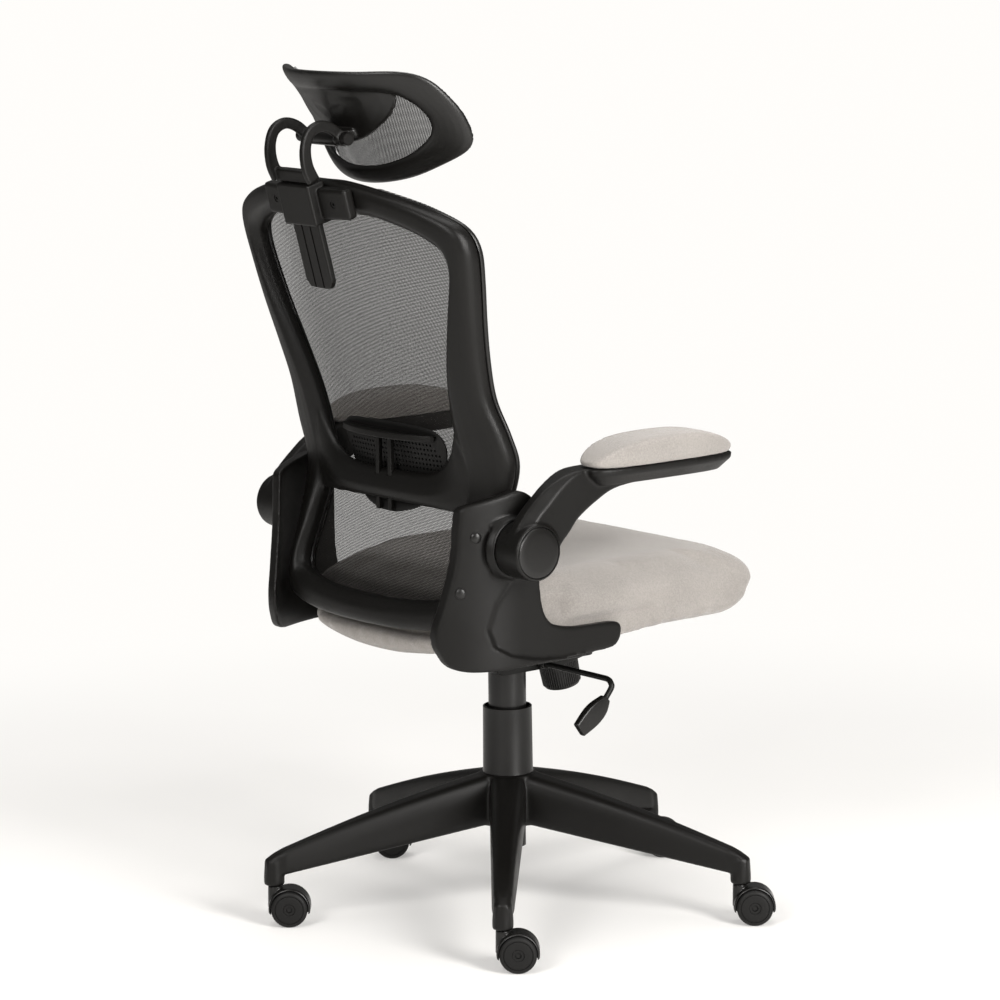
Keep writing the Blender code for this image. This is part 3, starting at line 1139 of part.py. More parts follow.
build_base()
build_casters()
build_column()
build_mechanism()
build_seat()
build_brackets()
build_arms()
build_back()
build_lumbar()
build_headrest()
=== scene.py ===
# %% [markdown]
# # A mesh-back task chair
# The chair's design is already settled: its parts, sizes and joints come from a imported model, which this
# script loads as a fixed frame. This lesson gives that frame its looks. Each step takes one piece or one
# finish, says what it is on the real chair, and builds it with the tool that suits it best.

# %% Load the frame
import json
import math

import bmesh
import bpy
from mathutils import Matrix, Vector

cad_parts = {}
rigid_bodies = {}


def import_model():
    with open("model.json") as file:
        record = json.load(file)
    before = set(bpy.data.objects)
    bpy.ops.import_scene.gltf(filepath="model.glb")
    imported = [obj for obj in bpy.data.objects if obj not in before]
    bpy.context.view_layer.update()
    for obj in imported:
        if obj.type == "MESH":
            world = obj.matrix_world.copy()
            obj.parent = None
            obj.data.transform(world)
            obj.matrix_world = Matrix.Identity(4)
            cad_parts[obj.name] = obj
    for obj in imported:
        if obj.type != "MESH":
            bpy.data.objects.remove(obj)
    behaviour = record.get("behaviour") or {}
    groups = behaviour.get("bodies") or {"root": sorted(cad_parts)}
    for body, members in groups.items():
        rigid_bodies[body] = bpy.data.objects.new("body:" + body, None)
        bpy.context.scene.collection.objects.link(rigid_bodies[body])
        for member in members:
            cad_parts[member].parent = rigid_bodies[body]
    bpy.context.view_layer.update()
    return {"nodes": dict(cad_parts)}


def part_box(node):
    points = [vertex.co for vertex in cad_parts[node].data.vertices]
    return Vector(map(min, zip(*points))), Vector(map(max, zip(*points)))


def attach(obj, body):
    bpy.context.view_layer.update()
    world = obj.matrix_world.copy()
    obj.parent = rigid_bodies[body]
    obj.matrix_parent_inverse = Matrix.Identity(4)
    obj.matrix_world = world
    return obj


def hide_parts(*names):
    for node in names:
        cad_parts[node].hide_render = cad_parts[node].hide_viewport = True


for leftover in list(bpy.data.objects):
    bpy.data.objects.remove(leftover, do_unlink=True)

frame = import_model()
tube_low, tube_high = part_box("column_tube")
AXIS = Vector(((tube_low.x + tube_high.x) / 2, (tube_low.y + tube_high.y) / 2, 0.0))

# %% [markdown]
# ## Small helpers for shader trees
# A procedural material is a tree of nodes. Writing every link by hand hides the idea, so one short function
# adds a node, sets its options and joins its inputs, and each material below then reads like a recipe.


# %% Helpers for shader trees
def new_material(name, colour, roughness, metallic=0.0):
    made = bpy.data.materials.new(name)
    made.use_nodes = True
    shader = made.node_tree.nodes["Principled BSDF"]
    shader.inputs["Base Color"].default_value = (*colour, 1.0)
    shader.inputs["Roughness"].default_value = roughness
    shader.inputs["Metallic"].default_value = metallic
    return made, made.node_tree, shader


def node(tree, kind, inputs=None, **options):
    """A new node: its options, and its inputs by name or number, each a value or another node's output."""
    made = tree.nodes.new(kind)
    for option, value in options.items():
        setattr(made, option, value)
    for key, value in (inputs or {}).items():
        if isinstance(value, bpy.types.NodeSocket):
            tree.links.new(value, made.inputs[key])
        else:
            made.inputs[key].default_value = value
    return made


def maths(tree, operation, first, second=0.0):
    return node(tree, "ShaderNodeMath", {0: first, 1: second}, operation=operation).outputs[0]


def ramp(tree, factor, low, high, start, end):
    """A value that runs from one number to another as the factor runs from start to end."""
    inputs = {"Value": factor, "From Min": start, "From Max": end, "To Min": low, "To Max": high}
    return node(tree, "ShaderNodeMapRange", inputs, interpolation_type="SMOOTHSTEP").outputs["Result"]


def blended(tree, factor, first, second):
    mix = node(tree, "ShaderNodeMix", data_type="RGBA")
    tree.links.new(factor, mix.inputs[0])
    for socket, colour in ((mix.inputs[6], first), (mix.inputs[7], second)):
        socket.default_value = (*colour, 1.0)
    return mix.outputs[2]


def noise(tree, place, scale, detail=3.0, rough=0.5):
    return node(tree, "ShaderNodeTexNoise", {"Vector": place, "Scale": scale, "Detail": detail,
                                             "Roughness": rough}
                ).outputs["Fac"]


def place_of(tree):
    return node(tree, "ShaderNodeTexCoord").outputs["Object"]


def bumped(tree, shader, height, distance, strength=1.0):
    bump = node(tree, "ShaderNodeBump", {"Height": height, "Distance": distance, "Strength": strength})
    tree.links.new(bump.outputs["Normal"], shader.inputs["Normal"])


# %% [markdown]
# ## Moulded plastic and painted steel
# The chair's structure is black glass-filled nylon from a spark-eroded mould: very dark, matte, with a
# grain of about half a millimetre that breaks up every highlight. Hands polish it, so its roughness drifts
# slowly from place to place, and convex edges are a touch lighter. The smoother covers and the painted
# steel are the same recipe with other numbers, so one function makes them all.


# %% Plastic and paint
def moulded(name, colour, roughness, grain, depth, worn=0.004, metallic=0.0, shine=0.18):
    made, tree, shader = new_material(name, colour, roughness, metallic)
    place = place_of(tree)
    cloud = noise(tree, place, 9.0)
    tree.links.new(ramp(tree, cloud, roughness - 0.05, roughness + 0.06, 0.3, 0.7),
                   shader.inputs["Roughness"])
    pointed = node(tree, "ShaderNodeNewGeometry").outputs["Pointiness"]
    edge = ramp(tree, pointed, 0.0, 1.0, 0.52, 0.62)
    light = tuple(channel + worn for channel in colour)
    tree.links.new(blended(tree, edge, colour, light), shader.inputs["Base Color"])
    fine = noise(tree, place, grain, 2.0, 0.6)
    bumped(tree, shader, fine, depth, 0.5)
    shader.inputs["Specular IOR Level"].default_value = shine
    return made


NYLON = moulded("black_textured_nylon", (0.0040, 0.0037, 0.0033), 0.40, 1500.0, 0.00030)
COVER = moulded("black_satin_cover", (0.0045, 0.0042, 0.0038), 0.34, 2200.0, 0.00010, shine=0.3)
DULL = moulded("dull_black_pad", (0.0050, 0.0048, 0.0045), 0.62, 900.0, 0.00010, 0.002, shine=0.2)
RUBBER = moulded("wheel_polyurethane", (0.0055, 0.0053, 0.0050), 0.55, 900.0, 0.00015, 0.004)
PAINTED = moulded("black_powder_coat", (0.007, 0.007, 0.0065), 0.40, 1800.0, 0.00015, 0.006, 0.3)
ACETAL = moulded("natural_acetal", (0.74, 0.73, 0.69), 0.45, 1200.0, 0.00005, 0.0)


# %% Bright steel
def steel():
    made, tree, shader = new_material("bright_turned_steel", (0.56, 0.56, 0.57), 0.24, 1.0)
    place = place_of(tree)
    stretched = node(tree, "ShaderNodeMapping", {"Vector": place, "Scale": (60.0, 60.0, 4000.0)}).outputs[0]
    lines = noise(tree, stretched, 1.0, 2.0)
    tree.links.new(ramp(tree, lines, 0.18, 0.34, 0.3, 0.7), shader.inputs["Roughness"])
    bumped(tree, shader, lines, 0.00004, 0.4)
    return made


STEEL = steel()
print("hard finishes:", [m.name for m in (NYLON, COVER, DULL, RUBBER, PAINTED, ACETAL, STEEL)])

# %% [markdown]
# ## Seat fabric
# The seat and the arm pads wear a light, warm grey polyester with a plain weave of about 1.3 mm. Two
# crossing sine waves make the weave. The pattern is laid flat on whichever of the three planes the surface
# faces most, because the padded pieces are swollen by simulation and keep no map of their own. Longer noise
# gives the yarns their mixed tone and a sheen lightens the cloth toward grazing angles.


# %% Woven fabric
def woven(name, light, dark, pitch):
    made, tree, shader = new_material(name, light, 0.92)
    place = place_of(tree)
    turn = 2.0 * math.pi / pitch
    split = node(tree, "ShaderNodeSeparateXYZ", {0: place})
    waves = [maths(tree, "SINE", maths(tree, "MULTIPLY", split.outputs[i], turn)) for i in range(3)]
    facing = node(tree, "ShaderNodeSeparateXYZ", {0: node(tree, "ShaderNodeNewGeometry").outputs["Normal"]})
    total = None
    for across, first, second in ((0, 1, 2), (1, 0, 2), (2, 0, 1)):
        weight = maths(tree, "POWER", maths(tree, "ABSOLUTE", facing.outputs[across]), 3.0)
        product = maths(tree, "MULTIPLY", waves[first], waves[second])
        part = maths(tree, "MULTIPLY", weight, product)
        total = part if total is None else maths(tree, "ADD", total, part)
    yarn = noise(tree, place, 420.0, 3.0, 0.65)
    patch = noise(tree, place, 14.0, 2.0)
    tone = maths(tree, "ADD", maths(tree, "MULTIPLY", yarn, 0.75), maths(tree, "MULTIPLY", patch, 0.25))
    tone = maths(tree, "ADD", tone, maths(tree, "MULTIPLY", total, 0.10))
    tree.links.new(blended(tree, ramp(tree, tone, 0.0, 1.0, 0.30, 0.70), dark, light),
                   shader.inputs["Base Color"])
    tree.links.new(ramp(tree, yarn, 0.86, 0.98, 0.3, 0.7), shader.inputs["Roughness"])
    height = maths(tree, "ADD", maths(tree, "MULTIPLY", total, 0.6), yarn)
    bumped(tree, shader, height, 0.00035, 0.6)
    shader.inputs["Sheen Weight"].default_value = 0.35
    shader.inputs["Sheen Roughness"].default_value = 0.5
    shader.inputs["Sheen Tint"].default_value = (0.95, 0.92, 0.90, 1.0)
    return made


FABRIC = woven("warm_grey_weave", (0.25, 0.232, 0.214), (0.175, 0.162, 0.150), 0.0013)

# %% [markdown]
# ## Back mesh
# The back is a black elastic net: thick yarns run across it, and thin ones tie them together, so its holes
# are short and stand in staggered rows. They are far too small and too many to model one by one, so they
# are made in the material, which is see-through wherever a row is open and a column is open. The sheet's
# own map is in metres along the cloth, so the holes stay the same size where it curves.


# %% Net material
def net(name, across_pitch, along_pitch, open_across, open_along, veil):
    """Black yarn round staggered holes. veil is how much a hole still hides: a sheer yarn crosses it."""
    made, tree, shader = new_material(name, (0.014, 0.013, 0.012), 0.75)
    cloth = node(tree, "ShaderNodeUVMap", uv_map="cloth").outputs[0]
    split = node(tree, "ShaderNodeSeparateXYZ", {0: cloth})
    row = maths(tree, "DIVIDE", split.outputs[1], along_pitch)
    odd = maths(tree, "MULTIPLY", maths(tree, "MODULO", maths(tree, "FLOOR", row), 2.0), 0.5)
    column = maths(tree, "ADD", maths(tree, "DIVIDE", split.outputs[0], across_pitch), odd)
    gaps = []
    for place, size in ((row, open_along), (column, open_across)):
        off = maths(tree, "ABSOLUTE", maths(tree, "SUBTRACT", maths(tree, "FRACT", place), 0.5))
        gaps.append(ramp(tree, off, 1.0, 0.0, size / 2 - 0.06, size / 2 + 0.06))
    gap = maths(tree, "MULTIPLY", *gaps)
    tree.links.new(ramp(tree, gap, 1.0, veil, 0.0, 1.0), shader.inputs["Alpha"])
    thread = noise(tree, cloth, 900.0, 2.0)
    dark, pale = (0.005, 0.0047, 0.0043), (0.014, 0.013, 0.012)
    tree.links.new(blended(tree, thread, dark, pale), shader.inputs["Base Color"])
    shader.inputs["Specular IOR Level"].default_value = 0.15
    return made


NET = net("black_back_net", 0.0024, 0.0020, 0.72, 0.68, 0.08)
FINE_NET = net("black_headrest_net", 0.0022, 0.0018, 0.72, 0.68, 0.08)
print("soft finishes:", [m.name for m in (FABRIC, NET, FINE_NET)])

# %% [markdown]
# ## Shape helpers
# Most of the chair's big pieces are lofts: a section carried round an outline, or a sheet that fills one.
# They need three tools: a smooth line through a few points, points spaced evenly along it, and faces
# between rows of points.


# %% Lines and lofts
def spline(points, spans=8, closed=False):
    """A smooth line through 2D or 3D points."""
    count = len(points)
    made = []
    for i in range(count if closed else count - 1):
        if closed:
            a, b, c, d = (Vector(points[(i + k) % count]) for k in (-1, 0, 1, 2))
        else:
            a, b, c, d = (Vector(points[min(max(i + k, 0), count - 1)]) for k in (-1, 0, 1, 2))
        for step in range(spans):
            t = step / spans
            made.append(0.5 * (2 * b + (c - a) * t + (2 * a - 5 * b + 4 * c - d) * t**2
                               + (3 * b - a - 3 * c + d) * t**3))
    if not closed:
        made.append(Vector(points[-1]))
    return made


def evenly(line, count, closed=True):
    """Points spaced evenly along a line."""
    line = list(line) + ([line[0]] if closed else [])
    lengths = [0.0]
    for before, after in zip(line, line[1:]):
        lengths.append(lengths[-1] + (after - before).length)
    made, place = [], 0
    for i in range(count):
        want = lengths[-1] * i / (count if closed else count - 1)
        while place < len(line) - 2 and lengths[place + 1] < want:
            place += 1
        share = (want - lengths[place]) / max(lengths[place + 1] - lengths[place], 1e-9)
        made.append(line[place].lerp(line[place + 1], min(share, 1.0)))
    return made


def loop(half, count):
    """A closed symmetric outline from its +X half."""
    whole = list(half) + [(-x, z) for x, z in reversed(half[1:-1])]
    return evenly(spline(whole, 10, closed=True), count)


def rounded(points, radius, segments=5):
    """A closed outline with every corner rounded."""
    made = []
    count = len(points)
    for i in range(count):
        before, corner, after = (Vector(points[(i + k) % count]) for k in (-1, 0, 1))
        start = corner + (before - corner).normalized() * min(radius, (before - corner).length * 0.48)
        end = corner + (after - corner).normalized() * min(radius, (after - corner).length * 0.48)
        for step in range(segments + 1):
            t = step / segments
            made.append(start.lerp(corner, t).lerp(corner.lerp(end, t), t))
    return made


def mesh_from(shape, name):
    bmesh.ops.remove_doubles(shape, verts=shape.verts, dist=0.000002)
    bmesh.ops.recalc_face_normals(shape, faces=shape.faces)
    mesh = bpy.data.meshes.new(name)
    shape.to_mesh(mesh)
    shape.free()
    return mesh


def loft(rows, around=True, end_to_end=False, caps=False, name="loft"):
    """Faces between rows of points. around closes each row, end_to_end joins the last row to the first."""
    shape = bmesh.new()
    made = [[shape.verts.new(point) for point in row] for row in rows]
    pairs = list(zip(made, made[1:])) + ([(made[-1], made[0])] if end_to_end else [])
    for before, after in pairs:
        count = len(before)
        for i in range(count if around else count - 1):
            j = (i + 1) % count
            shape.faces.new((before[i], before[j], after[j], after[i]))
    if caps:
        shape.faces.new(made[0])
        shape.faces.new(list(reversed(made[-1])))
    return mesh_from(shape, name)


def domed(rings, first, last, name="domed"):
    """A closed body from rings of points and the points at its two poles."""
    shape = bmesh.new()
    made = [[shape.verts.new(point) for point in row] for row in rings]
    for before, after in zip(made, made[1:]):
        for i in range(len(before)):
            j = (i + 1) % len(before)
            shape.faces.new((before[i], before[j], after[j], after[i]))
    for pole, row in ((first, made[0]), (last, made[-1])):
        tip = shape.verts.new(pole)
        for i in range(len(row)):
            shape.faces.new((tip, row[i], row[(i + 1) % len(row)]))
    return mesh_from(shape, name)


def prism(outline, low, high, axis="X"):
    order = {"X": lambda a, b, c: (c, a, b), "Y": lambda a, b, c: (a, c, b),
             "Z": lambda a, b, c: (a, b, c)}[axis]
    rows = [[order(a, b, low) for a, b in outline], [order(a, b, high) for a, b in outline]]
    return loft(rows, caps=True, name="prism")


def drum(centre, radius, length, axis="X", steps=64):
    """A cylinder with its middle at centre."""
    shape = bmesh.new()
    bmesh.ops.create_cone(shape, cap_ends=True, segments=steps, radius1=radius, radius2=radius, depth=length)
    turn = {"X": Matrix.Rotation(math.pi / 2, 4, "Y"), "Y": Matrix.Rotation(-math.pi / 2, 4, "X"),
            "Z": Matrix()}[axis]
    bmesh.ops.transform(shape, matrix=Matrix.Translation(centre) @ turn, verts=shape.verts)
    return mesh_from(shape, "drum")


def block(low, high):
    shape = bmesh.new()
    bmesh.ops.create_cube(shape, size=1.0)
    bmesh.ops.scale(shape, vec=Vector(high) - Vector(low), verts=shape.verts)
    bmesh.ops.translate(shape, vec=(Vector(high) + Vector(low)) / 2, verts=shape.verts)
    return mesh_from(shape, "block")


# %% [markdown]
# ## From a mesh to a finished piece
# A finished piece sits at the origin with its place in its mesh. Modifiers are used freely and then baked
# into the mesh. Moulded parts have no sharp corners: where shapes run into each other, a voxel remesh welds
# them into one skin and a few passes of smoothing leave the small fillets that a mould leaves.


# %% Finishing helpers
def thing(name, mesh):
    made = bpy.data.objects.new(name, mesh)
    bpy.context.scene.collection.objects.link(made)
    return made


def baked(made, angle=35.0):
    """Applies an object's modifiers to its mesh and shades it smooth up to an angle."""
    bpy.context.view_layer.update()
    graph = bpy.context.evaluated_depsgraph_get()
    mesh = bpy.data.meshes.new_from_object(made.evaluated_get(graph))
    made.modifiers.clear()
    made.data = mesh
    mesh.shade_smooth()
    if angle:
        mesh.set_sharp_from_angle(angle=math.radians(angle))
    return made


def dress(made, look, body, stands_for=()):
    """Gives a piece its material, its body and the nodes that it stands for."""
    made.data.materials.clear()
    made.data.materials.append(look)
    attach(made, body)
    if stands_for:
        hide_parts(*stands_for)
    return made


def merged(*meshes):
    """One mesh from several."""
    shape = bmesh.new()
    for mesh in meshes:
        shape.from_mesh(mesh)
    made = bpy.data.meshes.new("merged")
    shape.to_mesh(made)
    shape.free()
    return made


def skinned(name, mesh, voxel, passes, angle=0.0):
    """Welds overlapping closed shapes into one skin with soft fillets."""
    made = thing(name, mesh)
    remesh = made.modifiers.new("Weld", "REMESH")
    remesh.mode = "VOXEL"
    remesh.voxel_size = voxel
    smooth = made.modifiers.new("Soften", "SMOOTH")
    smooth.factor = 0.5
    smooth.iterations = passes
    return baked(made, angle)


def node_mesh(name):
    """A CAD node's mesh as one welded surface."""
    shape = bmesh.new()
    shape.from_mesh(frame["nodes"][name].data)
    bmesh.ops.remove_doubles(shape, verts=shape.verts, dist=0.00001)
    mesh = bpy.data.meshes.new(name + "_copy")
    shape.to_mesh(mesh)
    shape.free()
    mesh.materials.clear()
    return mesh


def from_node(name, look, body, voxel=0.0, passes=3, angle=35.0, bevel=0.0):
    """A finer piece in place of a CAD node: softened by a remesh, or bevelled, or only shaded smooth."""
    mesh = node_mesh(name)
    if voxel:
        made = skinned(name + "_moulded", mesh, voxel, passes)
    else:
        made = thing(name + "_finished", mesh)
        if bevel:
            edges = made.modifiers.new("Edges", "BEVEL")
            edges.width = bevel
            edges.segments = 2
            edges.limit_method = "ANGLE"
            edges.angle_limit = math.radians(40.0)
        baked(made, angle)
    return dress(made, look, body, [name])


def settle(mesh):
    """Moves a mesh from the column's space to the frame's."""
    mesh.transform(Matrix.Translation(AXIS))
    return mesh


print("helpers ready")

# %% [markdown]
# ## Round pieces and cuts
# Sleeves, wheels, caps and the shaft are turned on a lathe in real life, so here they are a profile swept
# round an axis. Holes are cut with a Boolean, which needs both meshes closed.


# %% Turning and cutting
def lathe(profile, centre, axis="Z", steps=64, ring=False):
    """Sweeps (radius, height) points round an axis. A ring's profile closes, any other ends on the axis."""
    rows = []
    for i in range(steps):
        angle = 2.0 * math.pi * i / steps
        rows.append([Vector((r * math.cos(angle), r * math.sin(angle), h)) for r, h in profile])
    mesh = loft(rows, around=ring, end_to_end=True, name="turned")
    turn = {"X": Matrix.Rotation(math.pi / 2, 4, "Y"), "Y": Matrix.Rotation(-math.pi / 2, 4, "X"),
            "Z": Matrix()}[axis]
    mesh.transform(Matrix.Translation(centre) @ turn)
    return mesh


def cut_from(mesh, *tools):
    """A mesh with other closed meshes cut out of it."""
    made = thing("being_cut", mesh)
    helpers = []
    for tool in tools:
        helpers.append(thing("tool", tool))
        step = made.modifiers.new("Cut", "BOOLEAN")
        step.operation = "DIFFERENCE"
        step.object = helpers[-1]
    baked(made, 0.0)
    result = made.data
    for used in helpers + [made]:
        bpy.data.objects.remove(used)
    return result


def softened(mesh, width, segments=3, limit=30.0):
    """A mesh with its sharp edges rounded."""
    made = thing("being_softened", mesh)
    edges = made.modifiers.new("Edges", "BEVEL")
    edges.width = width
    edges.segments = segments
    edges.limit_method = "ANGLE"
    edges.angle_limit = math.radians(limit)
    baked(made, 0.0)
    result = made.data
    bpy.data.objects.remove(made)
    return result


def welded(mesh, voxel, passes=0):
    """Overlapping closed shapes as one dense skin, still only a mesh."""
    made = skinned("being_welded", mesh, voxel, passes)
    result = made.data
    bpy.data.objects.remove(made)
    return result


def moved(mesh, move):
    """Moves every point of a mesh by a rule."""
    for vertex in mesh.vertices:
        vertex.co = move(vertex.co)
    return mesh


def smoothstep(value, start, end):
    t = min(max((value - start) / (end - start), 0.0), 1.0)
    return t * t * (3.0 - 2.0 * t)


# %% [markdown]
# ## Geometry Nodes helpers
# Anything that repeats comes from a small Geometry Nodes tree. The helper below makes a tree with named
# inputs, and a second one runs it on an object: it sets the inputs by their identifiers, reads the result
# as a plain mesh and takes the modifier away again, so that the finished piece carries nothing live.


# %% Node tree helpers
def new_tree(name, sizes):
    tree = bpy.data.node_groups.new(name, "GeometryNodeTree")
    tree.interface.new_socket("Geometry", in_out="INPUT", socket_type="NodeSocketGeometry")
    for title, value in sizes.items():
        kind = "NodeSocketInt" if isinstance(value, int) else "NodeSocketFloat"
        tree.interface.new_socket(title, in_out="INPUT", socket_type=kind).default_value = value
    tree.interface.new_socket("Material", in_out="INPUT", socket_type="NodeSocketMaterial")
    tree.interface.new_socket("Geometry", in_out="OUTPUT", socket_type="NodeSocketGeometry")
    return tree, tree.nodes.new("NodeGroupInput").outputs


def end_tree(tree, geometry, material):
    """Real geometry with its finish, into the tree's output."""
    real = node(tree, "GeometryNodeRealizeInstances", {"Geometry": geometry}).outputs[0]
    dressed = node(tree, "GeometryNodeSetMaterial", {"Geometry": real, "Material": material}).outputs[0]
    node(tree, "NodeGroupOutput", {"Geometry": dressed})


def grown(name, mesh, tree, look, angle=35.0, **sizes):
    """The plain mesh that a tree makes of a starting mesh."""
    made = thing(name, mesh)
    growth = made.modifiers.new("Growth", "NODES")
    growth.node_group = tree
    values = dict(sizes, Material=look)
    for item in tree.interface.items_tree:
        if item.in_out == "INPUT" and item.name in values:
            growth[item.identifier] = values[item.name]
    return baked(made, angle)


def aimed_points(places):
    """Loose points that each know a direction: the seats of screws and bolts."""
    mesh = bpy.data.meshes.new("seats")
    mesh.from_pydata([place for place, _ in places], [], [])
    aim = mesh.attributes.new("aim", "FLOAT_VECTOR", "POINT")
    for item, (_, direction) in zip(aim.data, places):
        item.vector = direction
    return mesh


def on_points(tree, points, instance):
    """An instance on every point, its Z axis along the point's aim."""
    aim = node(tree, "GeometryNodeInputNamedAttribute", {"Name": "aim"}, data_type="FLOAT_VECTOR").outputs[0]
    turn = node(tree, "FunctionNodeAlignRotationToVector", {"Vector": aim}, axis="Z").outputs[0]
    inputs = {"Points": points, "Instance": instance, "Rotation": turn}
    return node(tree, "GeometryNodeInstanceOnPoints", inputs).outputs[0]


# %% [markdown]
# ## Camera, floor and light
# The stage comes early, so every later step can be looked at. The chair stands on a pale floor in front of
# nothing: the sky is a plain bright white to the eye, but lights the chair less, so that the black plastic
# stays black. Large soft lights stand to its left and right and give it long soft highlights, and one more
# overhead opens the seat. The floor fades into the white sky a little way off, so that there is no horizon.

# %% Stage
CENTRE = Vector((AXIS.x, AXIS.y, 0.572))
AZIMUTH, ELEVATION, ROLL, DISTANCE = 230.8, 9.599, -0.596, 5.730
turn, lift = math.radians(AZIMUTH), math.radians(ELEVATION)
toward = Vector((math.sin(turn) * math.cos(lift), -math.cos(turn) * math.cos(lift), math.sin(lift)))
camera_data = bpy.data.cameras.new("camera")
camera_data.lens, camera_data.sensor_width, camera_data.shift_x = 150.1, 36.0, -0.0052
camera = thing("camera", camera_data)
camera.location = CENTRE + toward * DISTANCE
aim = (-toward).to_track_quat("-Z", "Y").to_matrix() @ Matrix.Rotation(math.radians(ROLL), 3, "Z")
camera.rotation_euler = aim.to_euler()
bpy.context.scene.camera = camera

world = bpy.data.worlds.new("studio")
bpy.context.scene.world = world
world.use_nodes = True
sky_tree = world.node_tree
dim = sky_tree.nodes["Background"]
dim.inputs["Color"].default_value, dim.inputs["Strength"].default_value = (1.0, 0.985, 0.96, 1.0), 0.17
backdrop = node(sky_tree, "ShaderNodeBackground", {"Color": (1.0, 0.985, 0.96, 1.0),
                                                   "Strength": 1.0}).outputs[0]
straight = node(sky_tree, "ShaderNodeLightPath").outputs["Is Camera Ray"]
seen = node(sky_tree, "ShaderNodeMixShader", {0: straight, 1: dim.outputs[0], 2: backdrop}).outputs[0]
sky_tree.links.new(seen, sky_tree.nodes["World Output"].inputs["Surface"])
bpy.context.scene.view_settings.view_transform = "Standard"


def softbox(name, place, size, power):
    data = bpy.data.lights.new(name, "AREA")
    data.shape, data.size, data.size_y, data.energy = "RECTANGLE", size[0], size[1], power
    data.color = (1.0, 0.985, 0.965)
    lamp = thing(name, data)
    lamp.location = place
    lamp.rotation_euler = (CENTRE - Vector(place)).to_track_quat("-Z", "Y").to_euler()


softbox("key", (-1.2, 3.2, 2.4), (1.4, 1.8), 105.0)
softbox("side", (-3.4, 0.1, 1.7), (0.9, 2.2), 200.0)
softbox("top", (0.2, -0.2, 3.4), (2.4, 2.4), 70.0)

FLOOR, floor_tree, floor_shader = new_material("pale_floor", (0.90, 0.89, 0.875), 0.5)
floor_grain = noise(floor_tree, place_of(floor_tree), 3.0)
floor_tree.links.new(ramp(floor_tree, floor_grain, 0.46, 0.54, 0.3, 0.7), floor_shader.inputs["Roughness"])
from_chair = node(floor_tree, "ShaderNodeVectorMath", {0: place_of(floor_tree)},
                  operation="LENGTH").outputs["Value"]
straight = node(floor_tree, "ShaderNodeLightPath").outputs["Is Camera Ray"]
fade = maths(floor_tree, "MULTIPLY", straight, ramp(floor_tree, from_chair, 0.30, 1.0, 0.5, 2.0))
far = node(floor_tree, "ShaderNodeEmission", {"Color": (1.0, 0.985, 0.96, 1.0), "Strength": 1.0}).outputs[0]
blend = node(floor_tree, "ShaderNodeMixShader", {0: fade, 1: floor_shader.outputs[0], 2: far}).outputs[0]
floor_tree.links.new(blend, floor_tree.nodes["Material Output"].inputs["Surface"])
floor = thing("floor", block((-30.0, -30.0, -0.02), (30.0, 30.0, -0.0005)))
floor.data.materials.append(FLOOR)
print("camera at", camera.location)

# %% [markdown]
# ## The five-arm base
# One moulding of glass-filled nylon. A single arm is lofted from a few sections, deep at the hub and
# slender at the tip. A Geometry Nodes tree sets five copies round the column and adds the hub, which is the
# rule that a designer would draw. The result is welded into one skin, so the arms flow into the hub with
# the fillets of a real moulding.

# %% Base sizes
BASE_RADIUS, BASE_TURN, BASE_ARMS = 0.335, 67.3, 5
HUB_BOTTOM, HUB_TOP = 0.118, 0.191
SOCKET_BOTTOM = 0.0566
ROOT_SECTION, TIP_SECTION = (0.120, 0.050), (0.069, 0.029)
TIP_TOP = 0.101


# %% One arm
def base_arm():
    rows = []
    count = 26
    for i in range(count + 1):
        share = 0.03 + 1.005 * i / count
        run = min(max(share - 0.10, 0.0) / 0.90, 1.0)
        top = HUB_TOP + (TIP_TOP - HUB_TOP) * run + 0.005 * math.sin(math.pi * run) - 0.0004
        shoulder = smoothstep(share, 0.965, 1.04)
        top -= 0.009 * shoulder**2
        bottom = ROOT_SECTION[0] + (TIP_SECTION[0] - ROOT_SECTION[0]) * run
        half = (ROOT_SECTION[1] + (TIP_SECTION[1] - ROOT_SECTION[1]) * run) / 2 - 0.005 * shoulder
        half_top = half * 0.80
        round_top = half * 0.45
        outline = [(-half, bottom), (half, bottom), (half, top - 0.018), (half_top, top), (-half_top, top),
                   (-half, top - 0.018)]
        section = rounded(outline, round_top, 4)
        rows.append([Vector((BASE_RADIUS * share, a, b)) for a, b in section])
    return loft(rows, caps=True, name="arm")


def tip_boss():
    profile = [(0.0, TIP_TOP - 0.008), (0.0125, TIP_TOP - 0.010), (0.0142, SOCKET_BOTTOM + 0.012),
               (0.0142, SOCKET_BOTTOM + 0.001), (0.0132, SOCKET_BOTTOM), (0.0, SOCKET_BOTTOM)]
    return lathe(profile, (BASE_RADIUS, 0.0, 0.0), steps=40)


